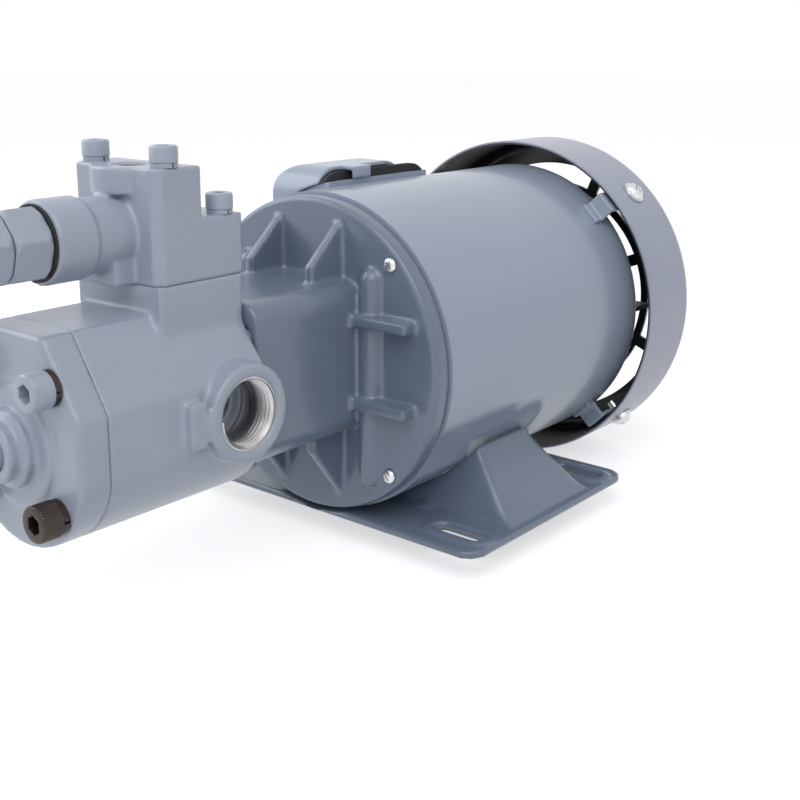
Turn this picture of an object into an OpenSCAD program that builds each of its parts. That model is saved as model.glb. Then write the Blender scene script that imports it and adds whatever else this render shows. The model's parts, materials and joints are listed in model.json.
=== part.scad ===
// Coolant pump: an internal-gear rotor pump with a relief valve, on a fan-cooled motor.
// The shaft lies along Y. The pump end faces -Y, the fan end +Y, and the floor is z = 0.
// The origin is the middle of the four foot slots, on the floor.

/* [Motor] */
// Height of the shaft axis above the floor
axis_h = 71; // [70:0.5:80]
// Outside diameter of the motor shell
shell_d = 139.4; // [134:0.2:140]
// Wall of the motor shell
shell_wall = 3.5; // [3:0.1:4.5]
// Distance from the bracket face to the closed end of the shell
shell_reach = 166; // [160:1:176]
// Radius of the shell's rear shoulder
shell_shoulder_r = 16; // [10:1:20]
// Depth of the pressed flute along each side of the shell
flute_depth = 2.2; // [1.2:0.1:2.6]
// Radius that the flute is pressed with
flute_r = 60; // [50:1:80]
// Angle of the flute below the horizontal
flute_angle = 30; // [26:1:34]
// Distance from the bracket face to the end of the flute
flute_reach = 82; // [60:1:100]
// Length of the stator lamination stack
stack_len = 62; // [50:1:66]
// Distance from the bracket face to the stack
stack_start = 50; // [48:1:54]
// Bore diameter of the stator
stator_bore_d = 76; // [70:1:80]
// Air gap between the stator and the rotor
air_gap = 0.4; // [0.3:0.05:0.6]
// Number of stator slots
stator_slots = 18; // [12:6:24]
// Diameter of the motor shaft at the rotor
rotor_shaft_d = 24; // [22:1:28]

/* [Foot] */
// Length of the foot along the shaft
foot_len = 125; // [120:1:130]
// Width of the foot across the shaft
foot_w = 176; // [172:1:184]
// Thickness of the pressed foot plate
foot_t = 3.2; // [2.5:0.1:4]
// Corner radius of the foot plate
foot_corner_r = 10; // [6:1:14]
// Distance between the slots along the shaft
slot_pitch_y = 94; // [92:1:98]
// Distance between the slots across the shaft
slot_pitch_x = 140; // [138:1:146]
// Overall length of a foot slot
slot_len = 24; // [20:1:26]
// Width of a foot slot
slot_w = 8; // [7:0.5:9]
// Height of the raised ring round a slot
slot_ring_h = 1.2; // [0.8:0.1:1.6]
// Height of the pressed saddle above the floor
saddle_h = 31; // [28:1:33]
// Length of the saddle at the plate
saddle_len = 62; // [56:1:66]

/* [Front bracket] */
// Step in from the shell's outside to the edge of the bracket disc
disc_step = 1.2; // [0.7:0.1:3.7]
// Width of the bracket rim in front of the shell
rim_w = 9; // [7:0.5:11]
// Thickness of the disc web
web_t = 7; // [5:0.5:8]
// Length of the neck between the disc and the pump
neck_len = 60; // [54:1:66]
// Width of the neck
neck_w = 60; // [58:0.5:64]
// Top of the neck above the shaft axis
neck_top = 36; // [33:0.5:37]
// Bottom of the neck below the shaft axis
neck_bottom = 28; // [27.5:0.5:32]
// Radius of the neck's long edges
neck_edge_r = 9; // [6:0.5:10]
// Bore diameter through the neck
neck_bore_d = 40; // [38:0.5:42]
// Thickness of the gussets and ribs
rib_t = 4.5; // [3.5:0.5:6]
// Distance of the gussets from the middle
gusset_x = 17; // [14:0.5:19]
// Reach of the gussets in front of the disc
gusset_reach = 19; // [14:1:24]
// Distance of the gusset tips inside the disc's edge
gusset_inset = 8.5; // [6.5:0.5:12.5]
// Distance of the side ribs' ends inside the disc's edge
side_rib_inset = 10.5; // [9:0.5:14]
// Reach of the side ribs in front of the disc
side_rib_reach = 8; // [5:0.5:11]
// Radius of the upright half-round beads
bead_r = 5.2; // [4:0.2:5.6]
// Distance of the beads from the middle
bead_x = 35; // [34.5:0.5:35.5]
// Distance of the bracket screws inside the shell's outside
bracket_screw_inset = 6.7; // [5.7:0.1:8.7]
// Thread diameter of the bracket screws
bracket_screw_d = 4; // [4:0.5:5]

/* [Fan end] */
// Air gap between the shell and the fan cover's outside
cover_air_gap = 12; // [8.3:0.1:14.3]
// Sheet thickness of the fan cover
cover_wall = 1.6; // [1.2:0.1:2.4]
// How far the fan cover reaches over the end of the shell
cover_lap = 12.5; // [8:0.5:18]
// Length of the fan cover
cover_len = 43; // [41:1:50]
// Distance from the fan's tips to the fan cover's outside
fan_tip_gap = 17.7; // [13.7:0.1:23.7]
// Number of fan blades
fan_blades = 7; // [5:1:9]
// Width of the fan blades along the shaft
fan_w = 15; // [12:1:16]
// Number of ring slots in the grille
grille_rings = 4; // [3:1:5]
// Number of spokes in the grille
grille_spokes = 8; // [6:1:12]
// Width of a grille spoke
spoke_w = 6; // [4:0.5:8]
// Thread diameter of the fan cover screws
cover_screw_d = 5; // [4:0.5:6]

/* [Terminal box] */
// Distance from the bracket face to the terminal box
box_start = 26; // [22:1:34]
// Length of the terminal box
box_len = 76; // [68:1:82]
// Rise of the terminal box above the shell
box_rise = 6.8; // [5.3:0.1:12.3]
// Distance of the box's joint face inside the shell's outside
box_joint_inset = 49.7; // [45.7:0.1:53.7]
// Depth of the lid beyond the joint face
lid_depth = 27; // [22:0.5:34]
// Wall of the lid
lid_wall = 2.2; // [1.8:0.1:3]
// Radius of the lid's corners
lid_corner_r = 13; // [8:0.5:15]
// Thickness of the box gasket
gasket_t = 3; // [2:0.5:4]

/* [Pump] */
// Length of the pump body
body_len = 73; // [70:1:78]
// Thickness of the pump cover
pump_cover_t = 12.5; // [11:0.5:15]
// Width of the pump across its side flats
pump_w = 71; // [69:0.5:74]
// Radius of the pump's rounded underside
pump_round_r = 36.6; // [36:0.2:38]
// Top of the pump above the shaft axis
pump_top = 38; // [36.5:0.5:40]
// Half width of the flat top
pump_top_half = 18; // [16:0.5:22]
// Height of the side flats' upper edge above the axis
flat_upper = 12; // [10:0.5:14]
// Pitch circle diameter of the long cover screws
cover_pcd = 63; // [62.5:0.5:64]
// Thread diameter of the long cover screws
cover_bolt_d = 8; // [7:0.5:8]
// Distance from the neck joint to the side ports
port_back = 14.8; // [14:0.2:18]
// Diameter of the port bosses
port_boss_d = 37.5; // [35:0.5:39]
// Distance of the port boss faces from the middle
port_face_x = 41.5; // [40:0.5:44]
// Diameter of the port bores
port_bore_d = 25.2; // [23:0.2:26]
// Depth of the port bores
port_depth = 20; // [17:0.5:21]

/* [Rotors] */
// Number of lobes on the inner rotor
inner_lobes = 4; // [4]
// Distance between the two rotor axes
eccentricity = 2.5; // [2.2:0.1:2.7]
// Radius of the circle on which the outer rotor's lobes lie
lobe_circle_r = 21; // [20.5:0.1:21.4]
// Radius of the outer rotor's lobes
lobe_r = 6.5; // [6.2:0.1:7]
// Outside diameter of the outer rotor
outer_rotor_d = 46; // [44.8:0.2:46.4]
// Width of the rotors along the shaft
rotor_w = 20; // [14:1:24]
// Clearance between the rotors' flanks
flank_gap = 0.06; // [0.04:0.01:0.08]
// Diameter of the pump shaft
pump_shaft_d = 14; // [12:0.5:14]

/* [Relief valve] */
// Height of the valve joint above the shaft axis
valve_joint = 48; // [46:0.5:52]
// Height of the valve body's tall part above the shaft axis
valve_top = 89; // [88:0.5:93]
// Height of the valve body's low part above the shaft axis
valve_step = 70.5; // [69:0.5:73]
// Height of the valve axis above the shaft axis
valve_axis = 65.5; // [65:0.5:67.5]
// Width of the valve body
valve_w = 47; // [46:0.5:50]
// Length of the tall part
valve_tall_len = 21; // [20:0.5:24]
// Length of the low part
valve_low_len = 19; // [17:0.5:21]
// Distance across the valve screws
valve_screw_x = 38; // [36:0.5:38]
// Distance between the valve screws along the shaft
valve_screw_y = 25; // [24:0.5:27]
// Thread diameter of the valve screws
valve_screw_d = 6; // [5:0.5:6]
// Diameter of the valve barrel
barrel_d = 29.4; // [27:0.2:31]
// Reach of the barrel in front of the tall part
barrel_reach = 32.7; // [31:0.1:36]
// Diameter of the relief piston
piston_d = 14; // [12:0.5:14.5]
// Length of the relief piston
piston_len = 22; // [20:1:24]
// Travel of the relief piston
piston_travel = 5; // [3:0.5:6]
// Width across the flats of the bonnet and the cap nut
bonnet_af = 24; // [22:0.5:26]
// Length of the bonnet's hexagon
bonnet_hex_len = 15.3; // [14:0.1:17]
// Thread diameter of the adjusting screw
adjuster_d = 8; // [6:0.5:8]
// Travel of the adjusting screw either way
adjuster_travel = 2; // [1:0.5:2.5]
// Diameter of the pilot port bore on top of the valve
top_port_d = 12.4; // [11:0.2:13]

/* [Fits] */
// Radial clearance of a running fit
run_gap = 0.05; // [0.03:0.01:0.08]
// Clearance round a screw or another seated piece
seat_gap = 0.1; // [0.05:0.05:0.15]
// Gap between pieces that move past each other
free_gap = 0.5; // [0.4:0.1:0.8]

/* [Hidden] */
$fn = 72;
// A small overlap that lets cuts run past a face
eps = 0.01;
// A length that reaches past every piece
far = 400;

// Colours of the paints and metals
pump_paint = [0.62, 0.65, 0.72];
bracket_paint = [0.45, 0.51, 0.60];
shell_paint = [0.60, 0.65, 0.73];
cover_paint = [0.66, 0.67, 0.75];
zinc = [0.82, 0.84, 0.86];
dark_steel = [0.22, 0.20, 0.20];
bright_steel = [0.72, 0.73, 0.75];
black_plastic = [0.08, 0.08, 0.10];
rubber_black = [0.10, 0.10, 0.11];
copper = [0.72, 0.42, 0.25];
brass = [0.78, 0.66, 0.36];
aluminium = [0.78, 0.79, 0.80];

// Places along the shaft
face_y = -foot_len / 2;
seam_y = face_y + rim_w;
shell_end = face_y + shell_reach;
neck_front = face_y - neck_len;
body_front = neck_front - body_len;
pump_front = body_front - pump_cover_t;
port_y = neck_front - port_back;
stack_y = face_y + stack_start;
stack_end = stack_y + stack_len;
cover_front = shell_end - cover_lap;
cover_end = cover_front + cover_len;

// Radii round the shaft
shell_r = shell_d / 2;
shell_inner_r = shell_r - shell_wall;
disc_r = shell_r - disc_step;
bracket_screw_r = shell_r - bracket_screw_inset;
rotor_r = stator_bore_d / 2 - air_gap;
cover_r = shell_r + cover_air_gap;
fan_r = cover_r - fan_tip_gap;

// Bearings: bore, outside diameter and width
front_brg = [17, 40, 12];
rear_brg = [15, 35, 11];
brg_balls = 8;
front_brg_y = face_y + 11;
rear_brg_y = shell_end - 4 - rear_brg[2] - 1;
housing_wall = 4.5;

// Screw heads by thread size: head diameter, head height, hexagon across flats
function head_d(d) = 1.5 * d + 1;
function head_h(d) = d;
function socket_af(d) = 0.75 * d;
function washer_h(d) = d * 0.26;

// Cover screw places
cover_bolt_xz = cover_pcd / 2 * cos(45);
bolt_depth = 16;
pump_bolt_hole_r = cover_bolt_d / 2 + seat_gap;
bracket_screw_xz = bracket_screw_r * cos(45);
bracket_screw_len = 18;

// Valve places along the shaft
valve_back = neck_front;
valve_mid = valve_back - valve_low_len;
valve_front = valve_mid - valve_tall_len;
valve_screw_back = valve_back - 7;
valve_screw_front = valve_screw_back - valve_screw_y;
barrel_front = valve_front - barrel_reach;
bonnet_front = barrel_front - bonnet_hex_len;
bonnet_wall = 4;
bonnet_thread_r = barrel_d / 2 - 4.2;
bonnet_thread_len = 11;
spring_bore_r = piston_d / 2 - 0.7;
piston_back = valve_mid - 10;
piston_front = piston_back - piston_len;
cup_wall = 2;
cup_floor = 8;
seat_t = 3;
seat_face = bonnet_front + bonnet_wall + adjuster_travel + free_gap + seat_t;
adjuster_r = adjuster_d / 2;
adjuster_end = bonnet_front - 16;
lock_nut_t = 5;
lock_nut_af = 1.625 * adjuster_d;
cap_len = 22;
cap_wall = 3;
spring_wire = 1.5;
spring_turns = 8;
spring_r = spring_bore_r - cup_wall - spring_wire / 2 + 0.3;

// Rotor pocket and shaft pieces in the pump
outer_lobes = inner_lobes + 1;
rotor_front = body_front + 0.03;
rotor_back = rotor_front + rotor_w;
pocket_back = rotor_back + 0.03;
outer_root_r = lobe_circle_r - lobe_r + 2 * eccentricity;
bush_r = pump_shaft_d / 2 + 2;
seal_r = 15;
seal_w = 7;
key_w = 4;
kidney_r = 5;
coupling_r = 17;
coupling_len = 36;
tang_w = 7;
tang_len = 10;
motor_shaft_front = face_y - 32;
motor_shaft_r = front_brg[0] / 2;

// Basic shapes, with z measured from the shaft axis inside on_axis()
module on_axis() {
  translate([0, 0, axis_h]) children();
}

module along_y(y1, y2, r) {
  translate([0, y1, 0]) rotate([-90, 0, 0]) cylinder(h = y2 - y1, r = r);
}

module along_x(x1, x2, r) {
  translate([x1, 0, 0]) rotate([0, 90, 0]) cylinder(h = x2 - x1, r = r);
}

module along_z(z1, z2, r) {
  translate([0, 0, z1]) cylinder(h = z2 - z1, r = r);
}

// A profile drawn in x and z, made solid from y1 to y2
module slab_y(y1, y2) {
  translate([0, y2, 0]) rotate([90, 0, 0]) linear_extrude(y2 - y1) children();
}

// A profile drawn in y and z, made solid from x1 to x2
module slab_x(x1, x2) {
  translate([x1, 0, 0]) rotate([90, 0, 90]) linear_extrude(x2 - x1) children();
}

// A profile drawn in radius and y, turned round the shaft axis
module turned() {
  rotate([-90, 0, 0]) rotate_extrude() children();
}

module both_sides() {
  children();
  mirror([1, 0, 0]) children();
}

module four_corners(dx, dz) {
  for (sx = [-1, 1], sz = [-1, 1]) translate([sx * dx, 0, sz * dz]) children();
}

module box(x1, x2, y1, y2, z1, z2) {
  translate([x1, y1, z1]) cube([x2 - x1, y2 - y1, z2 - z1]);
}

// Rounded rectangle from its lower and upper corners
module rounded(x1, y1, x2, y2, r) {
  translate([x1 + r, y1]) square([x2 - x1 - 2 * r, y2 - y1]);
  translate([x1, y1 + r]) square([x2 - x1, y2 - y1 - 2 * r]);
  for (x = [x1 + r, x2 - r], y = [y1 + r, y2 - r]) translate([x, y]) circle(r);
}

module slot_shape(len, w) {
  square([len - w, w], center = true);
  for (s = [-1, 1]) translate([s * (len - w) / 2, 0]) circle(w / 2);
}

module ring_y(y1, y2, ro, ri) {
  difference() {
    along_y(y1, y2, ro);
    along_y(y1 - eps, y2 + eps, ri);
  }
}

module hexagon(af) {
  circle(d = af / cos(30), $fn = 6);
}

// Socket screw: head upwards from z = 0, shank downwards
module socket_screw(d, len) {
  difference() {
    union() {
      cylinder(h = head_h(d) - 0.5, d = head_d(d));
      translate([0, 0, head_h(d) - 0.5]) cylinder(h = 0.5, d1 = head_d(d), d2 = head_d(d) - 1);
      translate([0, 0, -len]) cylinder(h = len + eps, d = d);
    }
    translate([0, 0, head_h(d) * 0.45]) linear_extrude(head_h(d)) hexagon(socket_af(d));
  }
}

// Split spring washer lying on z = 0
module spring_washer(d) {
  difference() {
    cylinder(h = washer_h(d), d = head_d(d) - 0.4);
    translate([0, 0, -eps]) cylinder(h = washer_h(d) + 2 * eps, r = d / 2 + seat_gap);
    rotate([0, 25, 0]) translate([0, -0.4, -d]) cube([d * 2, 0.8, d * 3]);
  }
}

// Pan-head cross screw: head upwards from z = 0, shank downwards
module pan_screw(d, len) {
  pan_d = d * 1.9;
  pan_h = d * 0.62;
  difference() {
    union() {
      intersection() {
        translate([0, 0, pan_h - pan_d * 0.62]) sphere(r = pan_d * 0.62);
        cylinder(h = pan_h, d = pan_d);
      }
      translate([0, 0, -len]) cylinder(h = len + eps, d = d);
    }
    for (a = [0, 90]) rotate([0, 0, a]) translate([-d * 0.5, -d * 0.09, pan_h * 0.5])
      cube([d, d * 0.18, pan_h]);
  }
}

// Motor body

module cup_profile(r, y1, y2, corner) {
  translate([0, y1]) square([r - corner, y2 - y1]);
  translate([0, y1]) square([r, y2 - y1 - corner]);
  translate([r - corner, y2 - corner]) circle(corner);
}

// Distance of the flute's centre from the shaft axis
flute_centre = shell_r + flute_r - flute_depth;

module flutes(gap) {
  both_sides() rotate([0, flute_angle, 0]) translate([flute_centre, 0, 0]) {
    along_y(face_y, face_y + flute_reach, flute_r - gap);
    translate([0, face_y + flute_reach, 0]) sphere(r = flute_r - gap);
  }
}

module motor_shell() color(shell_paint) on_axis() difference() {
  union() {
    turned() difference() {
      cup_profile(shell_r, seam_y, shell_end, shell_shoulder_r);
      cup_profile(shell_inner_r, seam_y - 1, shell_end - shell_wall, shell_shoulder_r - shell_wall);
      square([rear_brg[1] / 2 + housing_wall + seat_gap, far]);
    }
    shell_screw_lugs();
  }
  flutes(0);
  for (a = [45 : 90 : 315]) rotate([0, a, 0]) translate([bracket_screw_r, 0, 0])
    along_y(seam_y - 1, seam_y + bracket_screw_len, bracket_screw_d / 2 + seat_gap);
}

// Blocks inside the shell that hold the bracket screws
screw_lug_start = 6;
screw_lug_end = 20;
screw_lug_half = 5;
screw_lug_depth = 4.5;

module shell_screw_lugs() {
  for (a = [45 : 90 : 315]) rotate([0, a, 0])
    intersection() {
      box(bracket_screw_r - screw_lug_depth, shell_r, seam_y + screw_lug_start, seam_y + screw_lug_end,
          -screw_lug_half, screw_lug_half);
      along_y(seam_y, seam_y + screw_lug_end, shell_inner_r + 1);
    }
}

// Half section of the pressed saddle, with its sheet inset by g
module saddle_profile(g) {
  half = foot_w / 2;
  polygon([
    [24, -1], [half - 3 - 1.6 * g, -1], [half - 3 - 1.6 * g, foot_t - g], [half - 6 - g, foot_t + 2 - g],
    [half - 27 - 0.8 * g, saddle_h - 6 - 0.8 * g], [half - 32 - 0.4 * g, saddle_h - g], [24, saddle_h - g]
  ]);
}

module saddle_side(g) {
  mid = 1;
  polygon([
    [mid - saddle_len / 2 + g, -1], [mid + saddle_len / 2 - g, -1],
    [mid + saddle_len / 2 - g, foot_t], [mid + saddle_len / 2 - 11 - g, saddle_h],
    [mid - saddle_len / 2 + 14 + g, saddle_h], [mid - saddle_len / 2 + g, foot_t]
  ]);
}

module saddle(g) {
  both_sides() intersection() {
    slab_y(-saddle_len, saddle_len) saddle_profile(g);
    slab_x(0, foot_w / 2) saddle_side(g);
  }
}

module foot_slots(len, w, h) {
  for (sx = [-1, 1], sy = [-1, 1])
    translate([sx * slot_pitch_x / 2, sy * slot_pitch_y / 2, -1])
      linear_extrude(h + 1) slot_shape(len, w);
}

module mounting_foot() color(bracket_paint) difference() {
  union() {
    linear_extrude(foot_t) rounded(-foot_w / 2, -foot_len / 2, foot_w / 2, foot_len / 2, foot_corner_r);
    intersection() {
      foot_slots(slot_len + 8, slot_w + 8, foot_t + slot_ring_h);
      box(-foot_w, foot_w, -foot_len, foot_len, 0, foot_t + slot_ring_h);
    }
    intersection() {
      saddle(0);
      box(-foot_w, foot_w, -foot_len, foot_len, 0, far);
    }
  }
  foot_slots(slot_len, slot_w, far);
  saddle(foot_t * 0.9);
  on_axis() along_y(seam_y, far, shell_r);
  on_axis() along_y(-far, seam_y + eps, shell_r + free_gap);
}

gusset_tip = disc_r - gusset_inset;

module gusset(side) {
  // The free edge runs from the tip on the disc out to the reach, then down to the neck
  z_neck = side > 0 ? neck_top - 2 : neck_bottom - 2;
  translate([-rib_t / 2, 0, 0]) slab_x(0, rib_t) polygon([
    [face_y + 1, side * (z_neck - 3)], [face_y + 1, side * gusset_tip], [face_y, side * gusset_tip],
    [face_y - gusset_reach, side * (z_neck + 9)], [face_y - gusset_reach, side * (z_neck - 3)]
  ]);
}

module side_rib(z) {
  both_sides() box(neck_w / 2 - 4, disc_r - side_rib_inset, face_y - side_rib_reach, face_y + 1,
                   z - rib_t / 2, z + rib_t / 2);
}

module bead() {
  both_sides() intersection() {
    translate([bead_x, face_y, 0]) {
      along_z(-46, 37, bead_r);
      translate([0, 0, 37]) sphere(r = bead_r);
      translate([0, 0, -46]) sphere(r = bead_r);
    }
    box(0, far, face_y - 20, face_y + 1, -far, far);
  }
}

module front_bracket() color(bracket_paint) on_axis() difference() {
  union() {
    turned() {
      // Rim with a rounded front edge, and the spigot that centres the shell
      translate([0, face_y]) square([disc_r - 2, web_t]);
      translate([0, face_y + 2]) square([disc_r, rim_w - 2]);
      translate([disc_r - 2, face_y + 2]) circle(2);
      translate([shell_inner_r - 4, face_y]) square([4 - seat_gap, rim_w + 5]);
      translate([0, face_y]) square([front_brg[1] / 2 + housing_wall, 11 + front_brg[2]]);
    }
    slab_y(neck_front, face_y + 1) rounded(-neck_w / 2, -neck_bottom, neck_w / 2, neck_top, neck_edge_r);
    for (s = [-1, 1], x = [-gusset_x, gusset_x]) translate([x, 0, 0]) gusset(s);
    side_rib(21);
    side_rib(-14);
    bead();
  }
  // Bearing seat, shaft passage and the coupling space in the neck
  along_y(front_brg_y, far, front_brg[1] / 2);
  along_y(face_y - 1, far, 13);
  along_y(neck_front - 1, face_y + 3, neck_bore_d / 2);
  four_corners(cover_bolt_xz, cover_bolt_xz)
    along_y(neck_front - 1, neck_front + bolt_depth + 2, pump_bolt_hole_r);
  four_corners(bracket_screw_xz, bracket_screw_xz)
    along_y(face_y - 1, far, bracket_screw_d / 2 + seat_gap);
  // Inspection opening under the coupling
  box(-9, 9, neck_front + 20, neck_front + 42, -far, 0);
}

module bracket_screws() color(zinc) on_axis()
  four_corners(bracket_screw_xz, bracket_screw_xz)
    translate([0, face_y, 0]) rotate([90, 0, 0]) pan_screw(bracket_screw_d, bracket_screw_len + rim_w - 2);

module rear_bearing_housing() color(aluminium) on_axis() turned() difference() {
  union() {
    translate([0, rear_brg_y]) square([rear_brg[1] / 2 + housing_wall, shell_end - rear_brg_y]);
    translate([0, shell_end - shell_wall - 3]) square([rear_brg[1] / 2 + housing_wall + 8, 3]);
  }
  translate([0, rear_brg_y - 1]) square([rear_brg[1] / 2, rear_brg[2] + 2]);
  square([rear_brg[0] / 2 + 2, far]);
}

// Stator and rotor

module stator_core() color([0.35, 0.36, 0.38]) on_axis() difference() {
  ring_y(stack_y, stack_end, shell_inner_r, stator_bore_d / 2);
  for (i = [0 : stator_slots - 1]) rotate([0, i * 360 / stator_slots, 0])
    translate([stator_bore_d / 2 + 2, 0, 0]) stator_slot(0);
  for (i = [0 : stator_slots - 1]) rotate([0, i * 360 / stator_slots, 0])
    box(stator_bore_d / 2 - 1, stator_bore_d / 2 + 3, stack_y - 1, stack_end + 1, -1.2, 1.2);
}

// One winding slot, with the copper inset by g
module stator_slot(g) {
  box(g, 14 - g, stack_y - (g > 0 ? 4 : 1), stack_end + (g > 0 ? 4 : 1), -3.2 + g, 3.2 - g);
}

module stator_windings() color(copper) on_axis() union() {
  for (i = [0 : stator_slots - 1]) rotate([0, i * 360 / stator_slots, 0])
    translate([stator_bore_d / 2 + 2, 0, 0]) stator_slot(0.4);
  for (y = [stack_y - 11, stack_end + 2]) turned()
    rounded(stator_bore_d / 2 + 3, y, stator_bore_d / 2 + 17, y + 9, 4);
}

module rotor_core() color([0.42, 0.43, 0.45]) on_axis()
  ring_y(stack_y, stack_end, rotor_r, rotor_shaft_d / 2);

module rotor_end_rings() color(aluminium) on_axis() {
  for (end = [0, 1]) {
    y = end == 0 ? stack_y - 6 : stack_end;
    ring_y(y, y + 6, rotor_r - 2, rotor_r - 12);
    for (a = [0 : 45 : 315]) rotate([0, a, 0])
      box(rotor_r - 10, rotor_r - 4, y - (end == 0 ? 7 : 0), y + (end == 0 ? 6 : 13), -1.2, 1.2);
  }
}

module motor_shaft() color(bright_steel) on_axis() difference() {
  union() {
    along_y(motor_shaft_front, shell_end + 22, rear_brg[0] / 2 - 1);
    along_y(motor_shaft_front, stack_y, motor_shaft_r - seat_gap);
    along_y(front_brg_y + front_brg[2], rear_brg_y, rotor_shaft_d / 2 - 1.5);
    along_y(stack_y - 6, stack_end + 6, rotor_shaft_d / 2);
    along_y(stack_end, rear_brg_y + rear_brg[2], rear_brg[0] / 2 - 0.01);
  }
  key_slot(motor_shaft_front, motor_shaft_front + 20, motor_shaft_r);
  // Flat that drives the fan, and the groove for its clip
  box(-far, far, shell_end + 5, shell_end + 17, rear_brg[0] / 2 - 2, far);
  translate([0, shell_end + 18, 0]) ring_y(0, 1.2, rear_brg[0], rear_brg[0] / 2 - 2);
}

module key_slot(y1, y2, r) {
  box(-key_w / 2, key_w / 2, y1 - 1, y2, r - key_w / 2, r + key_w / 2);
}

// Ball bearings

function brg_mid_r(b) = (b[0] + b[1]) / 4;
function brg_ball_r(b) = (b[1] - b[0]) * 0.155;

module bearing_race(b, y, ri, ro) {
  turned() difference() {
    translate([ri, y]) square([ro - ri, b[2]]);
    translate([brg_mid_r(b), y + b[2] / 2]) circle(brg_ball_r(b) + run_gap);
  }
}

module bearing_outer(b, y) {
  bearing_race(b, y, brg_mid_r(b) + brg_ball_r(b) * 0.55, b[1] / 2);
}

module bearing_inner(b, y) {
  bearing_race(b, y, b[0] / 2, brg_mid_r(b) - brg_ball_r(b) * 0.55);
}

module bearing_balls(b, y) {
  for (i = [0 : brg_balls - 1]) rotate([0, i * 360 / brg_balls, 0])
    translate([brg_mid_r(b), y + b[2] / 2, 0]) sphere(r = brg_ball_r(b), $fn = 32);
  ring_y(y + b[2] / 2 - 1, y + b[2] / 2 + 1, brg_mid_r(b) + 0.8, brg_mid_r(b) - 0.8);
}

module front_bearing_outer_ring() color(bright_steel) on_axis() bearing_outer(front_brg, front_brg_y);
module front_bearing_inner_ring() color(bright_steel) on_axis() bearing_inner(front_brg, front_brg_y);
module front_bearing_balls() color(bright_steel) on_axis() bearing_balls(front_brg, front_brg_y);
module rear_bearing_outer_ring() color(bright_steel) on_axis() bearing_outer(rear_brg, rear_brg_y);
module rear_bearing_inner_ring() color(bright_steel) on_axis() bearing_inner(rear_brg, rear_brg_y);
module rear_bearing_balls() color(bright_steel) on_axis() bearing_balls(rear_brg, rear_brg_y);

module wave_washer() color(bright_steel) on_axis()
  ring_y(rear_brg_y + rear_brg[2] + 0.2, rear_brg_y + rear_brg[2] + 0.8,
         rear_brg[1] / 2 - 0.3, rear_brg[1] / 2 - 4);

// Fan end

fan_y = shell_end + 4;
fan_hub_r = 15;
fan_hub_len = 13;
fan_plate_t = 2;
blade_t = 2.4;
// Length of the blade tips that reach past the back plate
blade_overhang = 22;

module fan_blade() {
  // A flat blade that narrows towards the hub
  slab_y(fan_y + fan_plate_t, fan_y + fan_w) polygon([
    [fan_hub_r - 1, -blade_t / 2], [fan_r, -blade_t / 2], [fan_r, blade_t / 2], [fan_hub_r - 1, blade_t / 2]
  ]);
}

module cooling_fan() color(black_plastic) on_axis() difference() {
  union() {
    along_y(fan_y, fan_y + fan_hub_len, fan_hub_r);
    ring_y(fan_y, fan_y + fan_plate_t, fan_r - blade_overhang, fan_hub_r / 3);
    for (i = [0 : fan_blades - 1]) rotate([0, i * 360 / fan_blades, 0]) fan_blade();
  }
  difference() {
    along_y(fan_y - 1, far, rear_brg[0] / 2 - 1 + seat_gap);
    box(-far, far, shell_end + 5, shell_end + 17, rear_brg[0] / 2 - 2 + seat_gap, far);
  }
}

module fan_clip() color(bright_steel) on_axis() difference() {
  ring_y(shell_end + 18.1, shell_end + 19.1, 10, rear_brg[0] / 2 - 2 + seat_gap);
  box(-3, 3, shell_end, far, 0, far);
}

grille_r = cover_r - 14;
grille_hub_r = 14;
ring_pitch = (grille_r - grille_hub_r) / grille_rings;
ring_web = 4;

module grille_cuts() {
  difference() {
    for (i = [0 : grille_rings - 1])
      ring_y(cover_end - 10, far, grille_hub_r + (i + 1) * ring_pitch,
             grille_hub_r + i * ring_pitch + ring_web);
    for (i = [0 : grille_spokes - 1]) rotate([0, (i + 0.5) * 360 / grille_spokes, 0])
      box(0, far, -far, far, -spoke_w / 2, spoke_w / 2);
  }
}

module fan_cover() color(cover_paint) on_axis() difference() {
  turned() difference() {
    cup_profile(cover_r, cover_front, cover_end, 6);
    cup_profile(cover_r - cover_wall, cover_front - 1, cover_end - cover_wall, 6 - cover_wall);
  }
  grille_cuts();
  for (a = [45 : 90 : 315]) rotate([0, a, 0]) translate([0, cover_screw_y, 0])
    along_x(cover_r - 5, cover_r + 5, cover_screw_d / 2 + seat_gap);
}

cover_screw_y = cover_front + 20;
// Lugs: outer radius, half width, sheet, and the lengths of their foot and of the lip past the screw
lug_r = cover_r - cover_wall - seat_gap - 1;
lug_half = 8;
lug_t = 3;
lug_foot_len = 13;
lug_foot_t = 2.5;
lug_lip = 8;
lug_nut_depth = 8;
lug_end = cover_front - 1;

// Bent lugs, welded on the shell, that hold the cover
module fan_cover_brackets() color(bracket_paint) on_axis() for (a = [45 : 90 : 315]) rotate([0, a, 0])
  difference() {
    union() {
      box(shell_r - lug_t, lug_r, lug_end - lug_t, lug_end, -lug_half, lug_half);
      box(lug_r - lug_t, lug_r, lug_end - lug_t, cover_screw_y + lug_lip, -lug_half, lug_half);
      box(shell_r - lug_t, shell_r + lug_foot_t, lug_end - lug_foot_len, lug_end, -lug_half, lug_half);
      translate([0, cover_screw_y, 0]) along_x(lug_r - lug_nut_depth, lug_r, cover_screw_d);
    }
    along_y(-far, far, shell_r);
    translate([0, cover_screw_y, 0]) along_x(0, far, cover_screw_d / 2 + seat_gap);
  }

module at_cover_screws() {
  for (a = [45 : 90 : 315]) rotate([0, a, 0]) translate([cover_r + 0.05, cover_screw_y, 0])
    rotate([0, 90, 0]) children();
}

module fan_cover_screws() color(zinc) on_axis() at_cover_screws()
  translate([0, 0, 1.2]) pan_screw(cover_screw_d, 10);

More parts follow.
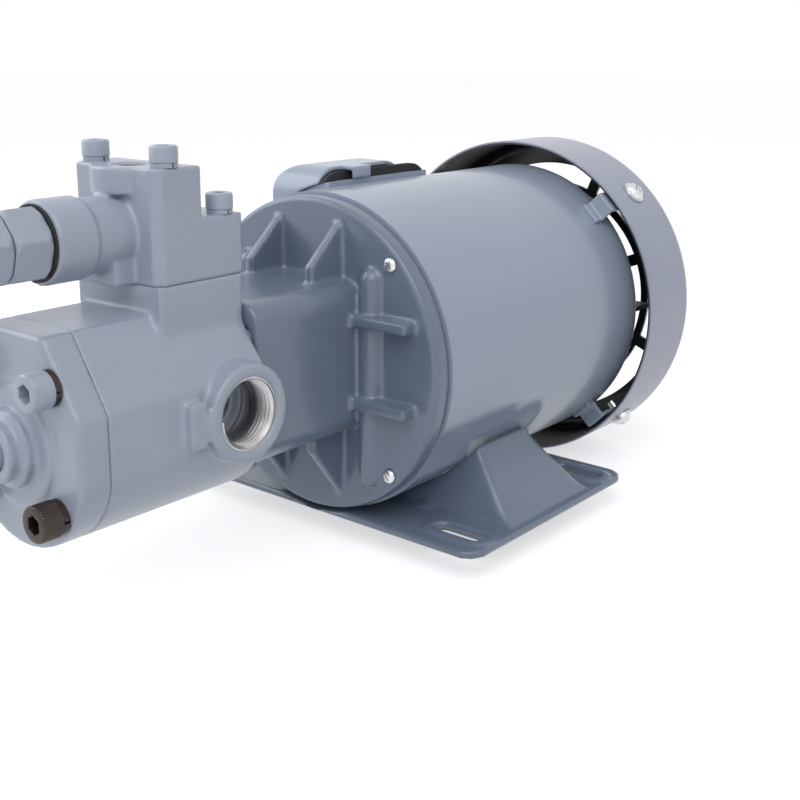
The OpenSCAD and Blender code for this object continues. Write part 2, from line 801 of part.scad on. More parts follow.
module fan_cover_washers() color(zinc) on_axis() at_cover_screws() difference() {
  cylinder(h = 1.2, r = cover_screw_d * 1.15);
  translate([0, 0, -1]) cylinder(h = 3, r = cover_screw_d / 2 + seat_gap);
}

// Terminal box

box_top = shell_r + box_rise;
box_joint_x = shell_r - box_joint_inset;
lid_x = box_joint_x + lid_depth;
base_t = 2.5;
box_y = face_y + box_start;
box_end = box_y + box_len;
gasket_x = box_joint_x - gasket_t;
base_wall = 2.5;
base_inset = 3;
base_top_step = 6;
box_drop = 14;
gasket_lip = 7;
cable_hole_inset = 16;
cable_hole_r = 9;

module lid_outline(g) {
  rounded(box_y + g, box_drop, box_end - g, box_top - g, lid_corner_r - g);
}

module lid_block(g, x1, x2) {
  // The outer corner of the section is rounded as well
  intersection() {
    translate([-x2 + (g > 0 ? g : 0), 0, 0]) slab_x(0, x2 - x1 + g) lid_outline(g);
    slab_y(box_y - 1, box_end + 1) rounded(-x2 + g, -40, far / 10, box_top - g, lid_corner_r - 3 - g);
  }
}

module terminal_box_lid() color(shell_paint) on_axis() difference() {
  union() {
    intersection() {
      lid_block(0, box_joint_x, lid_x);
      box(-far, -box_joint_x, -far, far, -far, far);
    }
    lid_tabs();
  }
  lid_block(lid_wall, box_joint_x, lid_x);
  along_y(-far, far, shell_r + base_t + seat_gap);
  at_lid_screws() along_x(-1, lid_wall + 1, lid_screw_d / 2 + seat_gap);
  translate([-lid_x, block_y, grommet_z]) along_x(-1, lid_wall + 1, grommet_r + seat_gap);
}

// Tabs on the lid that reach over the gasket and down the base's wall
tab_inset = 24;
tab_half = 6;
tab_t = 2;
tab_drop = 9;
tab_hook_t = 1.5;
tab_reach = 4.2;
tab_y = [box_y + tab_inset, box_end - tab_inset];

module lid_tabs() {
  for (y = tab_y) {
    box(-box_joint_x - 1, -gasket_x + tab_reach, y - tab_half, y + tab_half, box_top - tab_t, box_top);
    box(-gasket_x + tab_reach - tab_hook_t, -gasket_x + tab_reach, y - tab_half, y + tab_half,
        box_top - tab_drop, box_top);
  }
}

lid_screw_d = 4;
lid_screw_len = 9;
lid_screw_z = box_top - 14.5;
lid_screw_y = [box_y + 12, box_end - 12];
post_half = 4.5;
post_drop = 20;
post_rise = 5;
grommet_r = 4;
grommet_z = box_top - 15;

module at_lid_screws() {
  for (y = lid_screw_y) translate([-lid_x, y, lid_screw_z]) children();
}

module terminal_box_base() color(shell_paint) on_axis() difference() {
  union() {
    // Near wall under the gasket, and the floor that hugs the shell
    slab_x(-gasket_x, -gasket_x + base_wall)
      rounded(box_y + base_inset, box_drop, box_end - base_inset, box_top - base_top_step, lid_corner_r - 4);
    intersection() {
      along_y(box_y + base_inset, box_end - base_inset, shell_r + base_t);
      box(-lid_x - 6, -gasket_x + base_wall, -far, far, shell_r / 2, far);
    }
    // Posts that take the lid's screws
    at_lid_screws() box(lid_wall + 0.2, lid_screw_len + 1, -post_half, post_half, -post_drop, post_rise);
  }
  along_y(-far, far, shell_r);
  translate([-gasket_x - cable_hole_inset, (box_y + box_end) / 2, 0]) along_z(0, far, cable_hole_r);
  at_lid_screws() along_x(-1, far, lid_screw_d / 2 + seat_gap);
}

module terminal_box_gasket() color(rubber_black) on_axis() difference() {
  slab_x(-box_joint_x, -gasket_x) rounded(box_y - 1, box_drop, box_end + 1, box_top - 2.2, lid_corner_r);
  slab_x(-box_joint_x - 1, -gasket_x + 1)
    rounded(box_y + gasket_lip - 1, box_drop - 4, box_end - gasket_lip + 1, box_top - gasket_lip - 2,
            lid_corner_r - 5);
  along_y(-far, far, shell_r + base_t + seat_gap);
}

module terminal_box_screws() color(zinc) on_axis()
  at_lid_screws() rotate([0, -90, 0]) pan_screw(lid_screw_d, lid_screw_len);

block_x = -box_joint_x - 12;
block_y = box_y + box_len / 2;
block_top = box_top - 5;
block_half = 6;
block_bottom = shell_r - 19.7;
stud_d = 3;
stud_y = [block_y - 18.5, block_y - 13.5];

module terminal_block() color(black_plastic) on_axis() difference() {
  box(block_x - block_half, block_x + block_half, stud_y[0] - 2.5, stud_y[1] + 2.5, block_bottom, block_top);
  along_y(-far, far, shell_r + base_t);
  for (y = stud_y) translate([block_x, y, 0]) along_z(block_bottom - 1, far, stud_d / 2 + seat_gap);
}

module terminal_studs() color(brass) on_axis()
  for (y = stud_y) translate([block_x, y, block_top]) pan_screw(stud_d - 1, 5);

module cable_grommet() color(rubber_black) on_axis() translate([-lid_x, block_y, grommet_z])
  difference() {
    union() {
      along_x(-2.5, -0.05, grommet_r + 1);
      along_x(-1, lid_wall + 0.6, grommet_r);
    }
    along_x(-5, 5, grommet_r * 0.65);
  }

// Pump

// Outline of the pump: rounded below, flat sides, chamfered shoulders and a flat top
module pump_outline() {
  intersection() {
    translate([0, -eccentricity]) circle(pump_round_r);
    square([pump_w, far], center = true);
  }
  polygon([
    [-pump_w / 2, -8], [-pump_w / 2, flat_upper], [-pump_top_half, pump_top],
    [pump_top_half, pump_top], [pump_w / 2, flat_upper], [pump_w / 2, -8]
  ]);
}

module rotor_axis() {
  translate([0, 0, -eccentricity]) children();
}

module port_boss() {
  translate([0, port_y, 0]) along_x(20, port_face_x, port_boss_d / 2);
}

module port_cut() {
  translate([0, port_y, 0]) {
    along_x(port_face_x - port_depth, port_face_x + 1, port_bore_d / 2);
    along_x(11.5, port_face_x - port_depth + 1, 8);
    translate([port_face_x - 1.4, 0, 0]) rotate([0, 90, 0])
      cylinder(h = 1.5, d1 = port_bore_d, d2 = port_bore_d + 3);
  }
}

module pump_body() color(pump_paint) on_axis() difference() {
  union() {
    slab_y(body_front, neck_front) pump_outline();
    slab_y(valve_front, neck_front) pad_profile();
    both_sides() port_boss();
    both_sides() port_lug();
  }
  // The bosses overhang the sides of the neck
  box(-neck_w / 2 - free_gap, neck_w / 2 + free_gap, neck_front, far, -far, far);
  // Rotor pocket, shaft bore, bush seat and seal seat
  rotor_axis() along_y(body_front - 1, pocket_back, outer_rotor_d / 2 + run_gap);
  along_y(body_front, far, pump_shaft_d / 2 + 1.2);
  along_y(pocket_back - 1, pocket_back + 20, bush_r);
  along_y(neck_front - seal_w, far, seal_r);
  both_sides() port_cut();
  // Kidney passages between the rotor pocket and the ports
  both_sides() translate([16, 0, -eccentricity]) along_y(pocket_back - 1, port_y, kidney_r);
  // Passages up to the valve
  for (s = [-1, 1]) translate([s * passage_x, valve_passage_y, 0]) along_z(3, far, passage_r);
  four_corners(cover_bolt_xz, cover_bolt_xz) along_y(-far, far, pump_bolt_hole_r);
  for (x = [-1, 1], y = [valve_screw_front, valve_screw_back])
    translate([x * valve_screw_x / 2, y, 0]) along_z(valve_joint - 13, far, valve_screw_d / 2 + seat_gap);
}

// Passages between the pump and the valve, and the height of their cross passage over the joint
valve_passage_y = (valve_screw_front + valve_screw_back) / 2;
passage_x = 12;
passage_r = 3.6;
passage_rise = 8;
// Seals round the passages: the recess, the ring that fills it and its hole
seal_recess_r = 5.6;
seal_recess_t = 1.5;
passage_seal_r = seal_recess_r - seat_gap;
passage_seal_hole_r = passage_r + 0.2;
passage_seal_t = seal_recess_t - seat_gap;

module pad_profile() {
  translate([-valve_w / 2, 0]) square([valve_w, valve_joint]);
}

// Stepped round boss on the pump cover, and its plug
cover_boss_h = 10;
plug_r = 6.5;

// Small cast lug in front of each port boss
module port_lug() {
  box(30, port_face_x - 1.5, port_y - port_boss_d / 2 - 8, port_y - port_boss_d / 2 - 0.6, -8, 9);
}

// Groove for the cover's O-ring, between the rotor pocket and the screws
oring_w = 1.6;
oring_in_r = outer_rotor_d / 2 + run_gap + 0.5;

module oring_groove() {
  rotor_axis() ring_y(body_front - 1.4, body_front + eps, oring_in_r + oring_w, oring_in_r);
}

module pump_cover() color(pump_paint) on_axis() difference() {
  union() {
    slab_y(pump_front, body_front) pump_outline();
    rotor_axis() turned() {
      translate([0, pump_front - 1.2]) square([21, 2]);
      translate([0, pump_front - cover_boss_h + 5]) square([13.8, cover_boss_h]);
      translate([0, pump_front - cover_boss_h]) square([11, 6]);
    }
  }
  along_y(body_front - 11, far, bush_r);
  rotor_axis() along_y(pump_front - cover_boss_h - 1, pump_front - cover_boss_h + 4, plug_r + seat_gap);
  four_corners(cover_bolt_xz, cover_bolt_xz) along_y(-far, far, pump_bolt_hole_r);
  oring_groove();
}

module cover_oring() color(rubber_black) on_axis() rotor_axis()
  ring_y(body_front - 1.35, body_front - 0.05, oring_in_r + oring_w - 0.1, oring_in_r + 0.1);

module cover_plug() color(pump_paint) on_axis() rotor_axis() difference() {
  along_y(pump_front - cover_boss_h - 1.2, pump_front - cover_boss_h + 4, plug_r);
  slab_y(pump_front - cover_boss_h - 2, pump_front - cover_boss_h + 2.5) hexagon(5);
}

module cover_screws() color(dark_steel) on_axis() four_corners(cover_bolt_xz, cover_bolt_xz)
  translate([0, pump_front - washer_h(cover_bolt_d), 0]) rotate([90, 0, 0])
    socket_screw(cover_bolt_d, washer_h(cover_bolt_d) + pump_cover_t + body_len + bolt_depth);

module cover_spring_washers() color(dark_steel) on_axis() four_corners(cover_bolt_xz, cover_bolt_xz)
  translate([0, pump_front, 0]) rotate([90, 0, 0]) spring_washer(cover_bolt_d);

// Path of the lobe centres seen from the inner rotor, and its unit normal
function lobe_path(t) = [
  eccentricity * cos(outer_lobes * t) + lobe_circle_r * cos(t),
  eccentricity * sin(outer_lobes * t) + lobe_circle_r * sin(t)
];
function lobe_slope(t) = [
  -outer_lobes * eccentricity * sin(outer_lobes * t) - lobe_circle_r * sin(t),
  outer_lobes * eccentricity * cos(outer_lobes * t) + lobe_circle_r * cos(t)
];
function inner_point(t) = let (c = lobe_path(t), s = lobe_slope(t))
  c - (lobe_r + flank_gap) * [s[1], -s[0]] / norm(s);

inner_steps = 30 * inner_lobes;

module inner_rotor() color(bright_steel) on_axis() difference() {
  slab_y(rotor_front, rotor_back)
    rotate(-90) polygon([for (i = [0 : inner_steps - 1]) inner_point(i * 360 / inner_steps)]);
  along_y(-far, far, pump_shaft_d / 2);
  key_slot(-far, far, pump_shaft_d / 2);
}

module outer_rotor() color(bright_steel) on_axis() rotor_axis() slab_y(rotor_front, rotor_back)
  difference() {
    circle(outer_rotor_d / 2);
    difference() {
      circle(outer_root_r);
      for (i = [0 : outer_lobes - 1]) rotate(-90 + i * 360 / outer_lobes) translate([lobe_circle_r, 0])
        circle(lobe_r);
    }
  }

module rotor_key() color(bright_steel) on_axis()
  box(-key_w / 2 + 0.02, key_w / 2 - 0.02, rotor_front + 3, rotor_back - 3,
      pump_shaft_d / 2 - key_w / 2, pump_shaft_d / 2 + 1.8);

pump_shaft_front = body_front - 10;
pump_shaft_back = motor_shaft_front - 1;

module pump_shaft() color(bright_steel) on_axis() difference() {
  union() {
    along_y(pump_shaft_front, pump_shaft_back - tang_len, pump_shaft_d / 2 - eps);
    intersection() {
      along_y(pump_shaft_front, pump_shaft_back, pump_shaft_d / 2 - eps);
      box(-far, far, pump_shaft_front, pump_shaft_back, -tang_w / 2, tang_w / 2);
    }
  }
  key_slot(rotor_front + 3, rotor_back - 3, pump_shaft_d / 2);
}

module coupling_sleeve() color(dark_steel) on_axis() difference() {
  along_y(pump_shaft_back - tang_len + 1, pump_shaft_back - tang_len + 1 + coupling_len, coupling_r);
  along_y(pump_shaft_back, far, motor_shaft_r);
  box(-8, 8, pump_shaft_back - tang_len, pump_shaft_back + eps,
      -tang_w / 2 - seat_gap, tang_w / 2 + seat_gap);
  box(-key_w / 2, key_w / 2, pump_shaft_back, far, 0, motor_shaft_r + 2);
}

module coupling_key() color(bright_steel) on_axis()
  box(-key_w / 2 + 0.02, key_w / 2 - 0.02, motor_shaft_front, motor_shaft_front + 18,
      motor_shaft_r - key_w / 2 + 0.02, motor_shaft_r + 1.9);

module body_bush() color(brass) on_axis()
  ring_y(pocket_back, pocket_back + 20, bush_r, pump_shaft_d / 2 + run_gap);

module cover_bush() color(brass) on_axis()
  ring_y(body_front - 11, body_front, bush_r, pump_shaft_d / 2 + run_gap);

module oil_seal() color(rubber_black) on_axis() difference() {
  along_y(neck_front - seal_w, neck_front, seal_r);
  along_y(-far, far, pump_shaft_d / 2 + run_gap);
  ring_y(neck_front - 5, neck_front + 1, seal_r - 1.5, pump_shaft_d / 2 + 2.5);
}

// Relief valve

module on_valve() {
  translate([0, 0, axis_h + valve_axis]) children();
}

module valve_plan() {
  c = 3.2;
  h = valve_w / 2;
  polygon([
    [-h, valve_back], [h, valve_back], [h, valve_front + c], [h - c, valve_front],
    [c - h, valve_front], [-h, valve_front + c]
  ]);
}

top_port_y = valve_screw_front;
top_boss_r = 14;
top_boss_h = 9.5;
top_port_depth = 13;
// Collar at the barrel's open end, and the web under the barrel
collar_len = 15.7;
collar_step = 1.2;
web_half = 11;
web_reach = 9;

module valve_body() color(pump_paint) difference() {
  union() {
    on_axis() difference() {
      translate([0, 0, valve_joint]) linear_extrude(valve_top - valve_joint) valve_plan();
      box(-far, far, valve_mid, far, valve_step, far);
    }
    on_axis() translate([0, top_port_y, 0]) along_z(valve_top - top_boss_h, valve_top, top_boss_r);
    on_valve() {
      along_y(barrel_front, barrel_front + collar_len, barrel_d / 2);
      along_y(barrel_front + collar_len - 0.7, valve_front + 1, barrel_d / 2 - collar_step);
    }
    cast_web();
  }
  on_valve() {
    along_y(piston_front - piston_travel - 2, piston_back + 5, piston_d / 2 + run_gap);
    along_y(barrel_front - 1, barrel_front + bonnet_thread_len + 0.5, bonnet_thread_r + seat_gap);
    along_y(barrel_front, piston_front, piston_d / 2 + run_gap);
  }
  on_axis() {
    translate([0, top_port_y, 0]) {
      along_z(valve_axis, far, top_port_d / 2 - 2);
      along_z(valve_top - top_port_depth, far, top_port_d / 2);
    }
    for (s = [-1, 1]) translate([s * passage_x, valve_passage_y, 0])
      along_z(0, valve_joint + passage_rise, passage_r);
    translate([0, valve_passage_y, valve_joint + passage_rise]) along_x(-passage_x, passage_x, passage_r);
    translate([0, valve_passage_y, 0]) along_z(valve_joint + passage_rise, valve_axis, passage_r);
    for (x = [-1, 1], y = [valve_screw_front, valve_screw_back])
      translate([x * valve_screw_x / 2, y, 0]) along_z(0, far, valve_screw_d / 2 + seat_gap);
    for (s = [-1, 1]) translate([s * passage_x, valve_passage_y, 0])
      along_z(0, valve_joint + seal_recess_t, seal_recess_r);
  }
}

// Cast web between the barrel and the block
module cast_web() {
  on_axis() box(-web_half, web_half, valve_front - web_reach, valve_front + 1, valve_joint, valve_axis);
}

module valve_seals() color(rubber_black) on_axis()
  for (s = [-1, 1]) translate([s * passage_x, valve_passage_y, valve_joint + 0.02]) difference() {
    cylinder(h = passage_seal_t, r = passage_seal_r);
    translate([0, 0, -1]) cylinder(h = passage_seal_t + 2, r = passage_seal_hole_r);
  }

module at_valve_screws() {
  on_axis() for (x = [-1, 1]) {
    translate([x * valve_screw_x / 2, valve_screw_front, valve_top]) children();
    translate([x * valve_screw_x / 2, valve_screw_back, valve_step]) children();
  }
}

module valve_screws() color(pump_paint) on_axis() for (x = [-1, 1]) {
  translate([x * valve_screw_x / 2, valve_screw_front, valve_top + washer_h(valve_screw_d)])
    socket_screw(valve_screw_d, valve_top - valve_joint + 12);
  translate([x * valve_screw_x / 2, valve_screw_back, valve_step + washer_h(valve_screw_d)])
    socket_screw(valve_screw_d, valve_step - valve_joint + 12);
}

module valve_spring_washers() color(pump_paint) at_valve_screws() spring_washer(valve_screw_d);

module valve_piston() color(bright_steel) on_valve() difference() {
  along_y(piston_front, piston_back, piston_d / 2);
  along_y(piston_front - 1, piston_back - cup_floor, piston_d / 2 - cup_wall);
  turned() translate([piston_d / 2, (piston_back + piston_front) / 2 + 5]) circle(1);
}

// Compression spring swept along its helix
spring_y1 = seat_face + 0.05;
spring_y2 = piston_back - cup_floor - 0.05;
spring_steps = 12 * spring_turns;
spring_sides = 8;

function spring_centre(i) = let (a = 360 * spring_turns * i / spring_steps)
  [spring_r * cos(a), spring_y1 + spring_wire / 2 + (spring_y2 - spring_y1 - spring_wire) * i / spring_steps,
   spring_r * sin(a)];
function spring_point(i, j) = let (a = 360 * spring_turns * i / spring_steps, b = 360 * j / spring_sides)
  spring_centre(i) + spring_wire / 2 * [cos(b) * cos(a), sin(b), cos(b) * sin(a)];

module valve_spring() color(bright_steel) on_valve() polyhedron(
  points = [for (i = [0 : spring_steps], j = [0 : spring_sides - 1]) spring_point(i, j)],
  faces = concat(
    [[for (j = [0 : spring_sides - 1]) j]],
    [for (i = [0 : spring_steps - 1], j = [0 : spring_sides - 1])
      let (k = (j + 1) % spring_sides, a = i * spring_sides, b = a + spring_sides)
        [a + j, b + j, b + k, a + k]],
    [[for (j = [spring_sides - 1 : -1 : 0]) spring_steps * spring_sides + j]]
  )
);

module spring_seat() color(bright_steel) on_valve() union() {
  along_y(seat_face - seat_t, seat_face, spring_bore_r - free_gap);
  along_y(seat_face - eps, seat_face + 4, spring_r - spring_wire / 2 - 0.4);
}

module adjusting_screw() color(zinc) on_valve() difference() {
  along_y(adjuster_end, seat_face - seat_t - 0.02, adjuster_r - run_gap);
  slab_y(adjuster_end - 1, adjuster_end + 4) hexagon(adjuster_d / 2);
}

module lock_nut() color(zinc) on_valve() difference() {
  slab_y(bonnet_front - lock_nut_t, bonnet_front) hexagon(lock_nut_af);
  along_y(-far, far, adjuster_r);
}

module valve_bonnet() color(pump_paint) on_valve() difference() {
  union() {
    slab_y(bonnet_front, barrel_front - 1) rotate(12) hexagon(bonnet_af);
    along_y(barrel_front - 1 - eps, barrel_front + eps, bonnet_thread_r + 0.2);
    along_y(barrel_front, barrel_front + bonnet_thread_len, bonnet_thread_r);
  }
  along_y(bonnet_front + bonnet_wall, far, spring_bore_r);
  along_y(-far, far, adjuster_r);
}

module bonnet_seal() color(rubber_black) on_valve()
  ring_y(barrel_front - 1, barrel_front, barrel_d / 2 - 1.4, bonnet_thread_r + 0.25);

module cap_nut() color(pump_paint) on_valve() difference() {
  union() {
    slab_y(bonnet_front - cap_len + 4, bonnet_front - 0.6) rotate(12) hexagon(bonnet_af);
    along_y(bonnet_front - cap_len, bonnet_front - 1, bonnet_af / 2 - 0.8);
    along_y(bonnet_front - 0.6 - eps, bonnet_front, bonnet_af / 2 - 1.5);
  }
  along_y(bonnet_front - cap_len + cap_wall, far, lock_nut_af / 2 / cos(30) + free_gap);
}

mounting_foot();
motor_shell();
front_bracket();
rear_bearing_housing();
stator_core();
stator_windings();
rotor_core();
rotor_end_rings();
motor_shaft();
front_bearing_outer_ring();
front_bearing_inner_ring();
front_bearing_balls();
rear_bearing_outer_ring();
rear_bearing_inner_ring();
rear_bearing_balls();
wave_washer();
cooling_fan();
fan_clip();
fan_cover();
fan_cover_brackets();
fan_cover_screws();
fan_cover_washers();
bracket_screws();
terminal_box_base();
terminal_box_lid();
terminal_box_gasket();
terminal_block();
terminal_studs();
terminal_box_screws();
cable_grommet();
pump_body();
pump_cover();
cover_screws();
cover_spring_washers();
cover_oring();
inner_rotor();
outer_rotor();
rotor_key();
pump_shaft();
coupling_sleeve();
coupling_key();
body_bush();
cover_bush();
oil_seal();
cover_plug();
valve_body();
valve_screws();
valve_spring_washers();
valve_seals();
valve_piston();
valve_spring();
spring_seat();
adjusting_screw();
lock_nut();
valve_bonnet();
bonnet_seal();
cap_nut();
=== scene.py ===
"""Dresses the coolant pump: cast, pressed and turned pieces, their paints and metals, and a plain studio."""

import json
import math

import bmesh
import bpy
from mathutils import Euler, Matrix, Vector


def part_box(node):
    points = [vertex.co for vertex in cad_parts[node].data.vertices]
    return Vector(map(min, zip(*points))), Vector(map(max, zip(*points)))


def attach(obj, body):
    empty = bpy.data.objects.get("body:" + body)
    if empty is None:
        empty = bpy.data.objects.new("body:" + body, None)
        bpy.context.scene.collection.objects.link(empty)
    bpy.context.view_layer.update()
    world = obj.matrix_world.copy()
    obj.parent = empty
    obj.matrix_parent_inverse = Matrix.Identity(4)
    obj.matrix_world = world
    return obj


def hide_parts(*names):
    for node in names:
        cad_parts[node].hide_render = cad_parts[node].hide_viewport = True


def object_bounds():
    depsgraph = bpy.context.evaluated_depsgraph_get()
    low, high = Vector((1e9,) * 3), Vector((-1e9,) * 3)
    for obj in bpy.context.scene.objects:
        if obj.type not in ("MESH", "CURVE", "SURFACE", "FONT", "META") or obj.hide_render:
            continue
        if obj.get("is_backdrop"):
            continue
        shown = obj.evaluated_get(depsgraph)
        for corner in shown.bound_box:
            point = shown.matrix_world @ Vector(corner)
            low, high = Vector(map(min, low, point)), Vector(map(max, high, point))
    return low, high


bl_info = {
    "name": "Coolant pump dresser",
    "version": (1, 0, 0),
    "blender": (4, 5, 0),
    "location": "View3D > Sidebar > Pump",
    "description": "Finishes the castings, sheet metal, screws and threads of a motor-driven rotor pump",
    "category": "Object",
}

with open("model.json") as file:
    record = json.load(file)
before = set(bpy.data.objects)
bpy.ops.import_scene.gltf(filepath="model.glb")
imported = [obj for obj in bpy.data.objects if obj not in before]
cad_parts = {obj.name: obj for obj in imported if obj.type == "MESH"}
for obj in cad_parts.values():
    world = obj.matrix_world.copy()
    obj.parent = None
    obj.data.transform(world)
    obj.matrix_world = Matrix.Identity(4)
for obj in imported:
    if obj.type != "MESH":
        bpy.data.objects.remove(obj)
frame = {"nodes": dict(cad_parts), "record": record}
NODES = frame["nodes"]
MM = 0.001
BODY_OF = {node: body for body, nodes in frame["record"]["behaviour"]["bodies"].items() for node in nodes}


def mid(node):
    """Middle of a CAD node's box."""
    low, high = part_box(node)
    return (low + high) / 2


def half_width(node):
    """Half of a CAD node's width, the radius of a round one."""
    low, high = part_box(node)
    return (high.x - low.x) / 2


SHAFT_Z = mid("motor_shaft").z
ROTOR_Z = mid("outer_rotor").z
VALVE_Z = mid("valve_piston").z


# Pipe threads: radius at the root, pitch, depth, threaded length, and depth of the bore
PORT_ROOT = 13.2 * MM
PORT_PITCH = 1.814 * MM
PORT_DEPTH = 1.05 * MM
PORT_LENGTH = 18 * MM
PORT_BORE = 19.5 * MM
GAUGE_ROOT = 6.5 * MM
GAUGE_PITCH = 1.337 * MM
GAUGE_DEPTH = 0.75 * MM
GAUGE_LENGTH = 11.5 * MM
GAUGE_BORE = 12.5 * MM

# Screws: thread of each kind, and the height of the cross-recessed head as a share of it
COVER_SCREW = 8 * MM
VALVE_SCREW = 6 * MM
BRACKET_SCREW = 3.3 * MM
BRACKET_SCREW_DRAWN = 4 * MM
FAN_COVER_SCREW = 5 * MM
PAN_RADIUS = 0.95
PAN_HEIGHT = 0.62

# Lengths of the valve's hexagon and of the cap nut's round nose
BONNET_HEX = 14.3 * MM
CAP_DOME = 4 * MM

# How far the lid's far end slopes down, and the small bosses of the foot (x and y)
LID_SLOPE = 6 * MM
FOOT_BOSSES = ((41 * MM, -31 * MM), (45 * MM, -20 * MM))


# Settings that a user would change

def length(name, description, default, smallest=0.0):
    return bpy.props.FloatProperty(name=name, description=description, default=default, min=smallest,
                                   precision=5, unit="LENGTH")


def share(name, description, default):
    return bpy.props.FloatProperty(name=name, description=description, default=default, min=0.0, max=1.0)


def colour(name, description, default):
    return bpy.props.FloatVectorProperty(name=name, description=description, default=default, size=3,
                                         min=0.0, max=1.0, subtype="COLOR")


class PumpPaintSettings(bpy.types.PropertyGroup):
    """Colours and gloss of the paints"""
    pump: colour("Pump paint", "Enamel on the pump and its relief valve", (0.325, 0.362, 0.440))
    bracket: colour("Bracket paint", "Enamel on the bracket and the foot", (0.140, 0.178, 0.245))
    shell: colour("Shell paint", "Enamel on the motor shell and terminal box", (0.300, 0.350, 0.440))
    cover: colour("Fan cover paint", "Enamel on the outside of the fan cover", (0.305, 0.328, 0.420))
    gloss: share("Roughness of the enamel", "Roughness of the clear top of the paint", 0.30)
    peel: length("Orange peel", "Size of the ripples in the enamel", 1.6 * MM, 0.2 * MM)


class PumpShellSettings(bpy.types.PropertyGroup):
    """Form of the drawn motor shell and its pressed flutes"""
    wall: length("Wall", "Wall of the drawn shell", 3.5 * MM, 1 * MM)
    corner: length("Corner", "Radius of the shell's rear corner", 7 * MM, 4 * MM)
    hub_hole: length("Hub hole", "Radius of the hole round the rear bearing", 22.1 * MM, 10 * MM)
    flute_depth: length("Flute depth", "Depth of the flute along each side", 2.8 * MM, 0.5 * MM)
    flute_radius: length("Flute radius", "Radius that the flute is pressed with", 60 * MM, 20 * MM)
    flute_reach: length("Flute reach", "Length of the flute's straight stretch", 63 * MM, 20 * MM)
    flute_angle: bpy.props.FloatProperty(name="Flute angle", default=math.radians(31), subtype="ANGLE",
                                         description="Angle of the flute below the shaft")


class PumpCastingSettings(bpy.types.PropertyGroup):
    """How the castings are softened"""
    grid: length("Grid", "Mesh size of a softened casting", 0.85 * MM, 0.5 * MM)
    rounds: bpy.props.IntProperty(name="Rounds", default=7, min=1,
                                  description="Smoothing rounds on a casting")
    shoulder_rounds: bpy.props.IntProperty(name="Shoulder rounds", default=22, min=1,
                                           description="Further rounds on the pump's shoulders")
    grain: length("Sand grain", "Size of the grain that the mould left", 2.2 * MM, 0.5 * MM)


class PumpStageSettings(bpy.types.PropertyGroup):
    """Lamps and floor"""
    key_power: bpy.props.FloatProperty(name="Key lamp", description="Power of the large lamp", default=9.0,
                                       min=0.0, unit="POWER")
    fill_power: bpy.props.FloatProperty(name="Side lamp", description="Power of the side lamp", default=5.0,
                                        min=0.0, unit="POWER")
    sky: share("Sky", "Strength of the even light from all round", 0.55)
    floor: colour("Floor", "Colour of the floor", (0.66, 0.66, 0.67))
    floor_glow: share("Floor glow", "White that the floor shows to the camera besides the light on it", 0.6)


# Node helpers

def node_in(tree, kind, **settings):
    """A new node, with its attributes or its inputs' values set by name."""
    made = tree.nodes.new(kind)
    for key, value in settings.items():
        if hasattr(made, key):
            setattr(made, key, value)
        else:
            made.inputs[key.replace("_", " ")].default_value = value
    return made


def join(tree, source, output, target, socket):
    tree.links.new(source.outputs[output], target.inputs[socket])


def grouped(tree_kind, name, inputs, outputs):
    """An empty node group with named sockets, and its input and output nodes."""
    tree = bpy.data.node_groups.new(name, tree_kind)
    for label, kind, default in inputs:
        socket = tree.interface.new_socket(label, in_out="INPUT", socket_type=kind)
        if default is not None:
            socket.default_value = default
    for label, kind in outputs:
        tree.interface.new_socket(label, in_out="OUTPUT", socket_type=kind)
    return tree, tree.nodes.new("NodeGroupInput"), tree.nodes.new("NodeGroupOutput")


def noise(tree, size, detail, roughness, coordinates):
    made = node_in(tree, "ShaderNodeTexNoise", Detail=detail, Roughness=roughness)
    made.inputs["Scale"].default_value = 1.0 / size
    join(tree, coordinates, "Object", made, "Vector")
    return made


